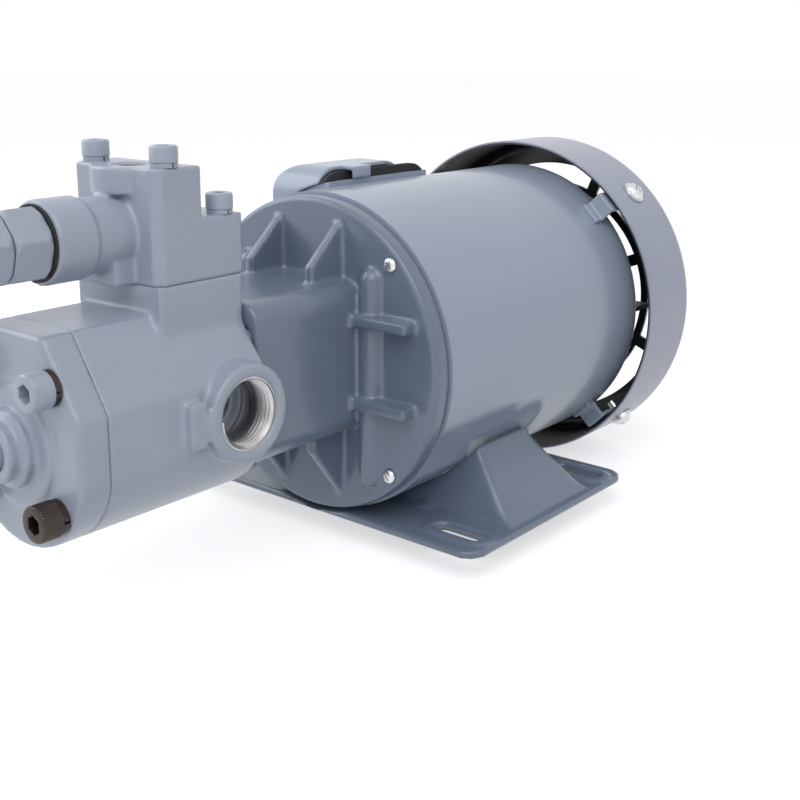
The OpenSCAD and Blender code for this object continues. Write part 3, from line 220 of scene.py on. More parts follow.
def enamel_group():
    """Sprayed enamel: slow drift of tone, orange peel and the grain of what is under it."""
    if "Sprayed enamel" in bpy.data.node_groups:
        return bpy.data.node_groups["Sprayed enamel"]
    tree, given, result = grouped("ShaderNodeTree", "Sprayed enamel", [
        ("Colour", "NodeSocketColor", (0.5, 0.5, 0.5, 1)), ("Drift", "NodeSocketFloat", 0.1),
        ("Peel", "NodeSocketFloat", 600.0), ("Peel height", "NodeSocketFloat", 0.4),
        ("Grain", "NodeSocketFloat", 450.0), ("Grain height", "NodeSocketFloat", 0.3),
        ("Roughness", "NodeSocketFloat", 0.3)],
        [("Colour", "NodeSocketColor"), ("Roughness", "NodeSocketFloat"), ("Height", "NodeSocketFloat")])
    place = tree.nodes.new("ShaderNodeTexCoord")
    slow = noise(tree, 45 * MM, 3.0, 0.5, place)
    peel = noise(tree, 1.0, 1.0, 0.4, place)
    grain = noise(tree, 1.0, 4.0, 0.62, place)
    join(tree, given, "Peel", peel, "Scale")
    join(tree, given, "Grain", grain, "Scale")
    # Tone: the slow noise lightens and darkens the colour by the drift
    centred = node_in(tree, "ShaderNodeMath", operation="SUBTRACT")
    join(tree, slow, "Fac", centred, 0)
    centred.inputs[1].default_value = 0.5
    scaled = node_in(tree, "ShaderNodeMath", operation="MULTIPLY")
    join(tree, centred, "Value", scaled, 0)
    join(tree, given, "Drift", scaled, 1)
    lift = node_in(tree, "ShaderNodeMath", operation="ADD")
    lift.inputs[1].default_value = 1.0
    join(tree, scaled, "Value", lift, 0)
    tone = node_in(tree, "ShaderNodeVectorMath", operation="SCALE")
    join(tree, given, "Colour", tone, 0)
    join(tree, lift, "Value", tone, "Scale")
    join(tree, tone, "Vector", result, "Colour")
    # Roughness: a little duller where the grain stands up
    rough = node_in(tree, "ShaderNodeMath", operation="MULTIPLY_ADD")
    join(tree, grain, "Fac", rough, 0)
    rough.inputs[1].default_value = 0.12
    join(tree, given, "Roughness", rough, 2)
    join(tree, rough, "Value", result, "Roughness")
    # Height: peel and grain together
    waves = node_in(tree, "ShaderNodeMath", operation="MULTIPLY")
    join(tree, peel, "Fac", waves, 0)
    join(tree, given, "Peel height", waves, 1)
    height = node_in(tree, "ShaderNodeMath", operation="MULTIPLY_ADD")
    join(tree, grain, "Fac", height, 0)
    join(tree, given, "Grain height", height, 1)
    join(tree, waves, "Value", height, 2)
    join(tree, height, "Value", result, "Height")
    return tree


def machined_group():
    """Worked metal: fine scratches and faint stains."""
    if "Worked metal" in bpy.data.node_groups:
        return bpy.data.node_groups["Worked metal"]
    tree, given, result = grouped("ShaderNodeTree", "Worked metal", [
        ("Colour", "NodeSocketColor", (0.6, 0.6, 0.6, 1)), ("Stain", "NodeSocketColor", (0.3, 0.22, 0.16, 1)),
        ("Stain share", "NodeSocketFloat", 0.2), ("Roughness", "NodeSocketFloat", 0.3)],
        [("Colour", "NodeSocketColor"), ("Roughness", "NodeSocketFloat"), ("Height", "NodeSocketFloat")])
    place = tree.nodes.new("ShaderNodeTexCoord")
    spots = noise(tree, 6 * MM, 4.0, 0.6, place)
    fine = noise(tree, 0.35 * MM, 2.0, 0.5, place)
    spread = node_in(tree, "ShaderNodeMapRange")
    spread.inputs["From Min"].default_value = 0.42
    spread.inputs["From Max"].default_value = 0.75
    join(tree, spots, "Fac", spread, "Value")
    amount = node_in(tree, "ShaderNodeMath", operation="MULTIPLY")
    join(tree, spread, "Result", amount, 0)
    join(tree, given, "Stain share", amount, 1)
    tinted = node_in(tree, "ShaderNodeMix", data_type="RGBA")
    join(tree, amount, "Value", tinted, "Factor")
    tree.links.new(given.outputs["Colour"], tinted.inputs[6])
    tree.links.new(given.outputs["Stain"], tinted.inputs[7])
    tree.links.new(tinted.outputs[2], result.inputs["Colour"])
    rough = node_in(tree, "ShaderNodeMath", operation="MULTIPLY_ADD")
    join(tree, spots, "Fac", rough, 0)
    rough.inputs[1].default_value = 0.18
    join(tree, given, "Roughness", rough, 2)
    join(tree, rough, "Value", result, "Roughness")
    join(tree, fine, "Fac", result, "Height")
    return tree


def finished_material(name, group, values, shader_values, bump, distance):
    """A material whose colour, roughness and relief come from a group, with the shader's own constants."""
    made = bpy.data.materials.new(name)
    made.use_nodes = True
    tree = made.node_tree
    shader = tree.nodes["Principled BSDF"]
    worked = tree.nodes.new("ShaderNodeGroup")
    worked.node_tree = group
    for key, value in values.items():
        worked.inputs[key].default_value = value
    for key, value in shader_values.items():
        shader.inputs[key].default_value = value
    relief = node_in(tree, "ShaderNodeBump", Strength=bump, Distance=distance)
    join(tree, worked, "Height", relief, "Height")
    join(tree, worked, "Colour", shader, "Base Color")
    join(tree, worked, "Roughness", shader, "Roughness")
    join(tree, relief, "Normal", shader, "Normal")
    return made


def enamel(name, paint, drift, peel_height, grain_height, gloss):
    """Enamel over cast iron or sheet."""
    scene = bpy.context.scene
    return finished_material(name, enamel_group(), {
        "Colour": (*paint, 1), "Drift": drift, "Peel": 1.0 / scene.pump_paint.peel,
        "Peel height": peel_height, "Grain": 1.0 / scene.pump_casting.grain, "Grain height": grain_height,
        "Roughness": gloss},
        {"Coat Weight": 0.35, "Coat Roughness": 0.12, "Specular IOR Level": 0.5, "IOR": 1.5}, 0.35, 0.12 * MM)


def metal(name, tone, roughness, stain=(0.3, 0.22, 0.16), stain_share=0.15, metallic=1.0):
    return finished_material(name, machined_group(), {
        "Colour": (*tone, 1), "Stain": (*stain, 1), "Stain share": stain_share, "Roughness": roughness},
        {"Metallic": metallic}, 0.25, 0.02 * MM)


def moulded(name, tone, roughness, drift=0.3):
    return finished_material(name, enamel_group(), {
        "Colour": (*tone, 1), "Drift": drift, "Peel": 1800.0, "Peel height": 0.5, "Grain": 900.0,
        "Grain height": 0.4, "Roughness": roughness},
        {"Specular IOR Level": 0.4}, 0.3, 0.05 * MM)


def cover_paint_and_painted_shade(paint, gloss):
    """Enamel outside the fan cover and near-black painted shade inside it, split at the sheet's middle."""
    made = enamel("fan_cover_paint_and_painted_shade", paint, 0.10, 0.5, 0.05, gloss)
    tree = made.node_tree
    worked = next(n for n in tree.nodes if n.type == "GROUP")
    shader = tree.nodes["Principled BSDF"]
    half_sheet = 0.8 * MM
    place = tree.nodes.new("ShaderNodeTexCoord")
    centre = node_in(tree, "ShaderNodeVectorMath", operation="SUBTRACT")
    centre.inputs[1].default_value = (0, 0, SHAFT_Z)
    flat = node_in(tree, "ShaderNodeVectorMath", operation="MULTIPLY")
    flat.inputs[1].default_value = (1, 0, 1)
    reach = node_in(tree, "ShaderNodeVectorMath", operation="LENGTH")
    split = node_in(tree, "ShaderNodeSeparateXYZ")
    # Mask of the fan cover's inside, where the near-black painted shade goes
    inside = node_in(tree, "ShaderNodeMath", operation="LESS_THAN")
    inside.inputs[1].default_value = half_width("fan_cover") - half_sheet
    ahead = node_in(tree, "ShaderNodeMath", operation="LESS_THAN")
    ahead.inputs[1].default_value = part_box("fan_cover")[1].y - half_sheet
    both = node_in(tree, "ShaderNodeMath", operation="MULTIPLY")
    enamel_and_painted_shade = node_in(tree, "ShaderNodeMix", data_type="RGBA")
    # Near-black painted shade for the inside of the fan cover
    enamel_and_painted_shade.inputs[7].default_value = (0.012, 0.012, 0.014, 1)
    join(tree, place, "Object", centre, 0)
    join(tree, centre, "Vector", flat, 0)
    join(tree, flat, "Vector", reach, 0)
    join(tree, reach, "Value", inside, 0)
    join(tree, place, "Object", split, 0)
    join(tree, split, "Y", ahead, 0)
    join(tree, inside, "Value", both, 0)
    join(tree, ahead, "Value", both, 1)
    join(tree, both, "Value", enamel_and_painted_shade, "Factor")
    tree.links.new(worked.outputs["Colour"], enamel_and_painted_shade.inputs[6])
    tree.links.new(enamel_and_painted_shade.outputs[2], shader.inputs["Base Color"])
    return made


def make_materials():
    """The record's material slots, each with its finish."""
    paint = bpy.context.scene.pump_paint
    return {
        "pump_paint": enamel("pump_enamel", paint.pump, 0.14, 0.35, 0.55, paint.gloss + 0.06),
        "bracket_paint": enamel("bracket_enamel", paint.bracket, 0.14, 0.6, 0.15, paint.gloss - 0.06),
        "shell_paint": enamel("shell_enamel", paint.shell, 0.08, 0.5, 0.02, paint.gloss - 0.04),
        "cover_paint": cover_paint_and_painted_shade(paint.cover, paint.gloss),
        "zinc_steel": metal("zinc_plate", (0.72, 0.73, 0.75), 0.18, (0.45, 0.43, 0.38), 0.3),
        "dark_steel": metal("black_oxide", (0.055, 0.048, 0.045), 0.32, (0.12, 0.07, 0.045), 0.5, 0.85),
        "ground_steel": metal("ground_steel", (0.52, 0.52, 0.53), 0.22),
        "electrical_steel": metal("lamination_steel", (0.16, 0.17, 0.19), 0.4),
        "copper": metal("enamelled_copper", (0.55, 0.22, 0.10), 0.3),
        "bronze": metal("sintered_bronze", (0.50, 0.34, 0.15), 0.4),
        "cast_aluminium": metal("cast_aluminium", (0.60, 0.61, 0.62), 0.4),
        "black_plastic": moulded("black_moulding", (0.012, 0.012, 0.014), 0.45),
        "rubber": moulded("nitrile_rubber", (0.018, 0.018, 0.020), 0.55),
    }


MATERIALS = {}


def material(slot):
    if not MATERIALS:
        MATERIALS.update(make_materials())
    return MATERIALS[slot]


# Mesh helpers

def link(name, mesh):
    made = bpy.data.objects.new(name, mesh)
    bpy.context.scene.collection.objects.link(made)
    return made


def settle(piece, finish=None, smooth=True):
    """Turns modifiers into a plain mesh and gives it one finish."""
    graph = bpy.context.evaluated_depsgraph_get()
    mesh = bpy.data.meshes.new_from_object(piece.evaluated_get(graph), depsgraph=graph)
    piece.modifiers.clear()
    piece.data = mesh
    if finish:
        mesh.materials.clear()
        mesh.materials.append(finish)
    for polygon in mesh.polygons:
        polygon.use_smooth = smooth
        polygon.material_index = 0
    return piece


def place_piece(piece, slot_name, *nodes, body=None):
    """Rides on its body and stands for its nodes."""
    if nodes:
        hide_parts(*nodes)
    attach(piece, body or BODY_OF[nodes[0]])
    return piece


def slot_of(node):
    for entry in frame["record"]["subparts"]:
        if entry["node"] == node:
            return entry["material_slot"]
    raise ValueError(f"{node} has no material slot")


def merged_copy(node, name):
    """A copy of a CAD node's mesh with its loose triangles merged."""
    made = link(name, NODES[node].data.copy())
    shape = bmesh.new()
    shape.from_mesh(made.data)
    bmesh.ops.remove_doubles(shape, verts=shape.verts, dist=1e-6)
    shape.to_mesh(made.data)
    shape.free()
    return made


def mesh_tool(name, shape):
    """A bmesh made into an object, for cutting or adding."""
    mesh = bpy.data.meshes.new(name)
    shape.to_mesh(mesh)
    shape.free()
    return link(name, mesh)


def box_tool(name, low, high, turn=Matrix.Identity(4)):
    shape = bmesh.new()
    size = Vector(high) - Vector(low)
    bmesh.ops.create_cube(shape, size=1.0, matrix=turn @ Matrix.Translation((Vector(low) + Vector(high)) / 2)
                          @ Matrix.Diagonal((*size, 1)))
    return mesh_tool(name, shape)


def bump_tool(name, centre, size):
    """An ellipsoid, for a raised boss with soft edges."""
    shape = bmesh.new()
    bmesh.ops.create_icosphere(shape, subdivisions=4, radius=1.0,
                               matrix=Matrix.Translation(centre) @ Matrix.Diagonal((*size, 1)))
    return mesh_tool(name, shape)


def turned_tool(name, profile, height):
    """A closed solid of (radius, y) points turned round an axis along Y at the given height."""
    made = link(name, turned_form(name, [(round_ring(radius), y) for radius, y in profile], 96))
    lying = Matrix.Translation((0, 0, height)) @ Matrix.Rotation(-math.pi / 2, 4, "X")
    made.data.transform(lying)
    return made


def cylinder_tool(name, radius, start, end, steps=96):
    """A closed cylinder between two points, for cutting."""
    axis = Vector(end) - Vector(start)
    shape = bmesh.new()
    bmesh.ops.create_cone(shape, cap_ends=True, segments=steps, radius1=radius, radius2=radius,
                          depth=axis.length)
    turn = axis.to_track_quat("Z", "Y").to_matrix().to_4x4()
    bmesh.ops.transform(shape, verts=shape.verts,
                        matrix=Matrix.Translation((Vector(start) + Vector(end)) / 2) @ turn)
    return mesh_tool(name, shape)


def absorb(piece, tools):
    """Takes the tools' meshes into the piece; the grid then fuses them."""
    shape = bmesh.new()
    shape.from_mesh(piece.data)
    for tool in tools:
        shape.from_mesh(tool.data)
    shape.to_mesh(piece.data)
    shape.free()


def round_edges(piece, grid, rounds, finish):
    """Rebuilds a piece on an even grid and smooths its edges."""
    remesh = piece.modifiers.new("Grid", "REMESH")
    remesh.mode = "VOXEL"
    remesh.voxel_size = grid
    soft = piece.modifiers.new("Soft edges", "SMOOTH")
    soft.factor = 0.5
    soft.iterations = rounds
    settle(piece, finish)


def melt(piece, weight, rounds):
    """Rounds a part of a piece further, by a weight from 0 to 1 of each point."""
    group = piece.vertex_groups.new(name="melt")
    steps = 4
    levels = {k: [] for k in range(1, steps + 1)}
    for vertex in piece.data.vertices:
        level = round(steps * min(max(weight(vertex.co), 0.0), 1.0))
        if level:
            levels[level].append(vertex.index)
    for level, indices in levels.items():
        if indices:
            group.add(indices, level / steps, "REPLACE")
    soft = piece.modifiers.new("Melt", "SMOOTH")
    soft.vertex_group = group.name
    soft.factor = 0.5
    soft.iterations = rounds
    settle(piece)


def soften(node, name, grid, rounds, cuts=(), keep=(), adds=(), melting=None):
    """A casting or pressing with its edges rounded, from the CAD node's own shape."""
    piece = merged_copy(node, name)
    for operation, tools in (("DIFFERENCE", cuts), ("INTERSECT", keep)):
        for tool in tools:
            cutter = piece.modifiers.new(operation.title(), "BOOLEAN")
            cutter.operation = operation
            cutter.object = tool
            cutter.solver = "EXACT"
    settle(piece)
    absorb(piece, adds)
    round_edges(piece, grid, rounds, material(slot_of(node)))
    if melting:
        melt(piece, *melting)
    for tool in (*cuts, *keep, *adds):
        bpy.data.objects.remove(tool)
    return place_piece(piece, slot_of(node), node)


def round_ring(radius):
    return lambda angle: radius


def hex_ring(across):
    """Radius of a hexagon, given across its flats."""
    def reach(angle):
        return across / 2 / math.cos((angle + math.pi / 6) % (math.pi / 3) - math.pi / 6)
    return reach


def knurl_ring(radius, ridge, count):
    return lambda angle: radius - ridge * (0.5 + 0.5 * math.cos(angle * count)) ** 2


def cross_ring(arm, half_width):
    """Radius of a cross recess with straight arms."""
    def reach(angle):
        near = abs((angle + math.pi / 4) % (math.pi / 2) - math.pi / 4)
        if math.tan(near) <= half_width / arm:
            return arm / math.cos(near)
        return half_width / math.sin(near)
    return reach


def turned_form(name, rings, steps):
    """A closed mesh through rings of (radius by angle, height), with both ends capped."""
    shape = bmesh.new()
    rows = []
    for reach, height in rings:
        row = []
        for k in range(steps):
            angle = 2 * math.pi * k / steps
            radius = reach(angle)
            row.append(shape.verts.new((radius * math.cos(angle), radius * math.sin(angle), height)))
        rows.append(row)
    for lower, upper in zip(rows, rows[1:]):
        for k in range(steps):
            m = (k + 1) % steps
            shape.faces.new((lower[k], lower[m], upper[m], upper[k]))
    shape.faces.new(rows[0][::-1])
    shape.faces.new(rows[-1])
    bmesh.ops.recalc_face_normals(shape, faces=shape.faces)
    mesh = bpy.data.meshes.new(name)
    shape.to_mesh(mesh)
    shape.free()
    return mesh


def socket_screw_mesh(name, size, shank, knurl=0.028):
    """A socket head screw with a knurled head: seat at z = 0, head upwards."""
    head = (1.5 * size + 1 * MM) / 2
    top = size
    hexagon = 0.75 * size
    ridge = knurl * size
    return turned_form(name, [
        (round_ring(size / 2), -shank), (round_ring(size / 2), 0), (round_ring(head - 0.35 * MM), 0),
        (round_ring(head), 0.35 * MM), (knurl_ring(head, ridge, 36), 0.5 * MM),
        (knurl_ring(head, ridge, 36), top - 0.7 * MM), (round_ring(head - 0.1 * MM), top - 0.55 * MM),
        (round_ring(head - 0.5 * MM), top - 0.08 * MM), (round_ring(head - 0.75 * MM), top),
        (hex_ring(hexagon + 0.5 * MM), top), (hex_ring(hexagon), top - 0.3 * MM),
        (hex_ring(hexagon), top - 0.52 * size), (hex_ring(0.2 * hexagon), top - 0.62 * size)], 216)


def pan_screw_mesh(name, size, shank):
    """A pan head screw with a cross recess."""
    head = PAN_RADIUS * size
    top = PAN_HEIGHT * size
    rim = 0.12 * top
    rise = top - rim
    dome = [(round_ring(head * math.cos(a)), rim + rise * math.sin(a))
            for a in [math.radians(d) for d in (0, 15, 30, 45, 58)]]
    return turned_form(name, [
        (round_ring(size / 2), -shank), (round_ring(size / 2), 0), (round_ring(head), 0), *dome,
        (cross_ring(0.52 * size, 0.10 * size), rim + rise * 0.93),
        (cross_ring(0.36 * size, 0.06 * size), 0.35 * top)], 96)


# Geometry Nodes trees

def fastener_tree():
    """Puts one model on every point, turned by the point's own angles."""
    if "Fasteners on points" in bpy.data.node_groups:
        return bpy.data.node_groups["Fasteners on points"]
    tree, given, result = grouped("GeometryNodeTree", "Fasteners on points", [
        ("Geometry", "NodeSocketGeometry", None), ("Model", "NodeSocketObject", None),
        ("Finish", "NodeSocketMaterial", None)], [("Geometry", "NodeSocketGeometry")])
    model = node_in(tree, "GeometryNodeObjectInfo", transform_space="ORIGINAL")
    angles = node_in(tree, "GeometryNodeInputNamedAttribute", data_type="FLOAT_VECTOR")
    angles.inputs["Name"].default_value = "turn"
    turn = tree.nodes.new("FunctionNodeEulerToRotation")
    spread = tree.nodes.new("GeometryNodeInstanceOnPoints")
    real = tree.nodes.new("GeometryNodeRealizeInstances")
    finish = tree.nodes.new("GeometryNodeSetMaterial")
    join(tree, given, "Model", model, "Object")
    join(tree, angles, "Attribute", turn, 0)
    join(tree, given, "Geometry", spread, "Points")
    join(tree, model, "Geometry", spread, "Instance")
    join(tree, turn, 0, spread, "Rotation")
    join(tree, spread, 0, real, 0)
    join(tree, real, 0, finish, "Geometry")
    join(tree, given, "Finish", finish, "Material")
    join(tree, finish, 0, result, 0)
    return tree


def thread_tree():
    """A ridge wound inside a bore: turns, radius, pitch and depth are its inputs."""
    if "Wound thread" in bpy.data.node_groups:
        return bpy.data.node_groups["Wound thread"]
    tree, given, result = grouped("GeometryNodeTree", "Wound thread", [
        ("Geometry", "NodeSocketGeometry", None), ("Turns", "NodeSocketFloat", 9.0),
        ("Root radius", "NodeSocketFloat", 0.013), ("Taper", "NodeSocketFloat", 0.0005),
        ("Length", "NodeSocketFloat", 0.018), ("Depth", "NodeSocketFloat", 0.001),
        ("Finish", "NodeSocketMaterial", None)], [("Geometry", "NodeSocketGeometry")])
    coil = node_in(tree, "GeometryNodeCurveSpiral")
    coil.inputs["Resolution"].default_value = 72
    inner = node_in(tree, "ShaderNodeMath", operation="SUBTRACT")
    profile = node_in(tree, "GeometryNodeCurvePrimitiveCircle", mode="RADIUS")
    profile.inputs["Resolution"].default_value = 4
    sweep = tree.nodes.new("GeometryNodeCurveToMesh")
    real = tree.nodes.new("GeometryNodeRealizeInstances")
    finish = tree.nodes.new("GeometryNodeSetMaterial")
    join(tree, given, "Turns", coil, "Rotations")
    join(tree, given, "Root radius", coil, "End Radius")
    join(tree, given, "Root radius", inner, 0)
    join(tree, given, "Taper", inner, 1)
    join(tree, inner, 0, coil, "Start Radius")
    join(tree, given, "Length", coil, "Height")
    join(tree, given, "Depth", profile, "Radius")
    join(tree, coil, 0, sweep, "Curve")
    join(tree, profile, 0, sweep, "Profile Curve")
    join(tree, sweep, 0, real, 0)
    join(tree, real, 0, finish, "Geometry")
    join(tree, given, "Finish", finish, "Material")
    join(tree, finish, 0, result, 0)
    return tree


def grow(piece, tree, values):
    """Adds a Geometry Nodes modifier with its inputs set by identifier."""
    modifier = piece.modifiers.new(tree.name, "NODES")
    modifier.node_group = tree
    for item in tree.interface.items_tree:
        if item.item_type == "SOCKET" and item.in_out == "INPUT" and item.name in values:
            modifier[item.identifier] = values[item.name]
    return modifier


def fasteners(name, model_mesh, places, node, slot=None):
    """One mesh of equal fasteners, each at a (point, Euler angles) place."""
    slot = slot or slot_of(node)
    model = link(f"{name}_model", model_mesh)
    points = bpy.data.meshes.new(name)
    points.from_pydata([place for place, _ in places], [], [])
    turns = points.attributes.new("turn", "FLOAT_VECTOR", "POINT")
    for k, (_, angles) in enumerate(places):
        turns.data[k].vector = angles
    piece = link(name, points)
    finish = material(slot)
    grow(piece, fastener_tree(), {"Model": model, "Finish": finish})
    settle(piece, finish, smooth=False)
    bpy.data.objects.remove(model)
    piece.data.shade_smooth()
    smooth_by_angle(piece, math.radians(35))
    return place_piece(piece, slot, node)


def smooth_by_angle(piece, limit):
    """Marks the edges that turn by more than the limit as sharp."""
    shape = bmesh.new()
    shape.from_mesh(piece.data)
    for edge in shape.edges:
        if len(edge.link_faces) == 2:
            edge.smooth = edge.calc_face_angle(0) < limit
    shape.to_mesh(piece.data)
    shape.free()


def wound_thread(name, mouth, inward, outer_radius, pitch, depth, reach):
    """A threaded bore lining: a sleeve and the ridge wound inside it."""
    free_end = 0.6 * MM
    wound = reach - 2 * free_end
    turn = Vector(inward).to_track_quat("Z", "Y").to_matrix().to_4x4()
    sleeve = turned_form(f"{name}_sleeve", [
        (round_ring(outer_radius + 0.6 * MM), 0.1 * MM), (round_ring(outer_radius + 0.6 * MM), reach),
        (round_ring(outer_radius - 0.3 * MM), reach), (round_ring(outer_radius), 0.1 * MM)], 96)
    shape = bmesh.new()
    shape.from_mesh(sleeve)
    caps = [face for face in shape.faces if len(face.verts) > 4]
    bmesh.ops.delete(shape, geom=caps, context="FACES_ONLY")
    edges = [edge for edge in shape.edges if edge.is_boundary]
    bmesh.ops.bridge_loops(shape, edges=edges)
    bmesh.ops.recalc_face_normals(shape, faces=shape.faces)
    shape.to_mesh(sleeve)
    shape.free()
    lining = link(name, sleeve)
    finish = material("ground_steel")
    ridge = link(f"{name}_ridge", bpy.data.meshes.new(f"{name}_ridge"))
    grow(ridge, thread_tree(), {
        "Turns": wound / pitch, "Root radius": outer_radius, "Taper": 0.3 * MM, "Length": wound,
        "Depth": depth, "Finish": finish})
    settle(ridge, finish, smooth=False)
    shape = bmesh.new()
    shape.from_mesh(ridge.data)
    bmesh.ops.translate(shape, verts=shape.verts, vec=(0, 0, free_end))
    bmesh.ops.holes_fill(shape, edges=shape.edges)
    bmesh.ops.recalc_face_normals(shape, faces=shape.faces)
    base = bmesh.new()
    base.from_mesh(lining.data)
    shape.to_mesh(ridge.data)
    base.from_mesh(ridge.data)
    bmesh.ops.transform(base, verts=base.verts, matrix=Matrix.Translation(mouth) @ turn)
    base.to_mesh(lining.data)
    base.free()
    shape.free()
    bpy.data.objects.remove(ridge)
    settle(lining, finish, smooth=False)
    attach(lining, BODY_OF["pump_body"])
    return lining


def mount_place(name):
    """Where the record puts a mount."""
    return Vector(next(mount["pos_m"] for mount in frame["record"]["mounts"] if mount["name"] == name))


def port_places():
    """Mouth and inward direction of the two side ports, from the record's mounts."""
    low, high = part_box("pump_body")
    suction = mount_place("suction_port")
    return [(Vector((high.x, suction.y, suction.z)), Vector((-1, 0, 0))),
            (Vector((low.x, suction.y, suction.z)), Vector((1, 0, 0)))]


def gauge_place():
    """Mouth and inward direction of the gauge port on top of the valve."""
    gauge = mount_place("gauge_port")
    return Vector((gauge.x, gauge.y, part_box("valve_body")[1].z)), Vector((0, 0, -1))


# Operators

class PUMP_OT_finishes(bpy.types.Operator):
    """Give every CAD node its finish"""
    bl_idname = "pump.finishes"
    bl_label = "Finishes"

    def execute(self, context):
        for entry in frame["record"]["subparts"]:
            mesh = NODES[entry["node"]].data
            mesh.materials.clear()
            mesh.materials.append(material(entry["material_slot"]))
        return {"FINISHED"}


class PUMP_OT_pump_castings(bpy.types.Operator):
    """Soften the pump body and its cover, and open the ports for their threads"""
    bl_idname = "pump.pump_castings"
    bl_label = "Pump castings"

    def execute(self, context):
        casting = context.scene.pump_casting
        cuts = [cylinder_tool("port_cut", PORT_ROOT + 0.5 * MM, mouth - inward * 1 * MM,
                              mouth + inward * PORT_BORE) for mouth, inward in port_places()]
        shoulder = self.shoulder_weight()
        soften("pump_body", "pump_body_casting", casting.grid, casting.rounds, cuts,
               melting=(shoulder, casting.shoulder_rounds))
        soften("pump_cover", "pump_cover_casting", casting.grid, casting.rounds,
               melting=(shoulder, casting.shoulder_rounds))
        return {"FINISHED"}

    def shoulder_weight(self):
        """A weight of 1 on the pump's outer edges, and 0 at its joints, its ports and the valve's pad."""
        body_low, body_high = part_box("pump_body")
        valve_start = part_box("valve_body")[0].y
        port = port_places()[0][0]
        pad = body_high.z - 11 * MM

        def weight(point):
            reach = math.hypot(point.x, point.z - SHAFT_Z)
            clear_of_joints = min(abs(point.y - body_low.y), body_high.y - point.y) / (4 * MM) - 0.4
            clear_of_port = (math.hypot(point.y - port.y, point.z - port.z) - 22 * MM) / (4 * MM)
            clear_of_pad = (pad - point.z) / (3 * MM) if point.y > valve_start else 1
            return min((reach - 33.5 * MM) / (1.5 * MM), clear_of_joints, clear_of_port, clear_of_pad)

        return weight


class PUMP_OT_valve_castings(bpy.types.Operator):
    """Soften the relief valve's body, bonnet and cap nut"""
    bl_idname = "pump.valve_castings"
    bl_label = "Relief valve"

    def execute(self, context):
        casting = context.scene.pump_casting
        mouth, inward = gauge_place()
        cut = cylinder_tool("gauge_cut", GAUGE_ROOT + 0.4 * MM, mouth - inward * 1 * MM,
                            mouth + inward * GAUGE_BORE)
        soften("valve_body", "valve_body_casting", 0.7 * MM, casting.rounds, [cut])
        low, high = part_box("valve_bonnet")
        soften("valve_bonnet", "valve_bonnet_turning", 0.4 * MM, 3, keep=[
            self.chamfered("bonnet_chamfer", low.y, low.y + BONNET_HEX, high.y + 1 * MM)])
        low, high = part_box("cap_nut")
        soften("cap_nut", "cap_nut_turning", 0.4 * MM, 3, keep=[
            self.chamfered("cap_chamfer", low.y + CAP_DOME, high.y - 0.6 * MM, high.y + 1 * MM,
                           low.y - 1 * MM)])
        return {"FINISHED"}

    def chamfered(self, name, start, end, back, front=None):
        """A turned envelope that takes the corners off both ends of a hexagon."""
        flat = 12.3 * MM
        corner = 14 * MM
        slope = 2.6 * MM
        nose = [(11.4 * MM, front), (11.4 * MM, start - 0.1 * MM)] if front else []
        return turned_tool(name, [*nose, (flat, start), (corner, start + slope), (corner, end - slope),
                                  (flat, end), (flat, back)], VALVE_Z)


class PUMP_OT_bracket_casting(bpy.types.Operator):
    """Soften the bracket between the pump and the motor"""
    bl_idname = "pump.bracket_casting"
    bl_label = "Bracket casting"

    def execute(self, context):
        casting = context.scene.pump_casting
        soften("front_bracket", "front_bracket_casting", 0.95 * MM, casting.rounds)
        return {"FINISHED"}


class PUMP_OT_motor_shell(bpy.types.Operator):
    """Draw the motor shell with its rounded rear corner and pressed flutes"""
    bl_idname = "pump.motor_shell"
    bl_label = "Motor shell"

    def execute(self, context):
        form = context.scene.pump_shell
        low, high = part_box("motor_shell")
        outside = half_width("motor_shell")
        inside = outside - form.wall
        flute_end = low.y + form.flute_reach
        centre = outside + form.flute_radius - form.flute_depth
        edge_blend = 0.5 * MM

        def pressed(angle, y):
            """Radius of the outer wall, with the flute nearest to this angle blended in."""
            side = math.pi - angle if math.cos(angle) < 0 else angle
            turn = (side + form.flute_angle + math.pi) % (2 * math.pi) - math.pi
            past = max(0.0, y - flute_end)
            under = form.flute_radius ** 2 - (centre * math.sin(turn)) ** 2 - past ** 2
            if under <= 0 or math.cos(turn) <= 0:
                return outside
            flute = centre * math.cos(turn) - math.sqrt(under)
            share_of_wall = min(max(0.5 + 0.5 * (flute - outside) / edge_blend, 0.0), 1.0)
            return (flute + (outside - flute) * share_of_wall
                    - edge_blend * share_of_wall * (1 - share_of_wall))

        def corner(radius, outer, end):
            return [(outer - radius + radius * math.cos(a), end - radius + radius * math.sin(a))
                    for a in [math.radians(9 * k) for k in range(1, 11)]]

        wall_rows = 112
        straight = high.y - form.corner
        profile = [(None, low.y + (straight - low.y) * k / wall_rows) for k in range(wall_rows + 1)]
        profile += corner(form.corner, outside, high.y)
        profile += [(form.hub_hole, high.y), (form.hub_hole, high.y - form.wall)]
        profile += corner(form.corner - form.wall, inside, high.y - form.wall)[::-1]
        profile += [(inside, straight), (inside, low.y)]
        self.build(profile, pressed)
        return {"FINISHED"}

    def build(self, profile, pressed):
        """Turns the profile round the shaft; a radius of None follows the pressed wall."""
        steps = 288
        shape = bmesh.new()
        rows = []
        for radius, y in profile:
            row = []
            for k in range(steps):
                angle = 2 * math.pi * k / steps
                reach = pressed(angle, y) if radius is None else radius
                place = (reach * math.cos(angle), y, SHAFT_Z + reach * math.sin(angle))
                row.append(shape.verts.new(place))
            rows.append(row)
        for row, after in zip(rows, rows[1:] + rows[:1]):
            for k in range(steps):
                m = (k + 1) % steps
                shape.faces.new((row[k], row[m], after[m], after[k]))
        bmesh.ops.recalc_face_normals(shape, faces=shape.faces)
        piece = mesh_tool("motor_shell_drawing", shape)
        settle(piece, material("shell_paint"))
        smooth_by_angle(piece, math.radians(40))
        place_piece(piece, "shell_paint", "motor_shell")


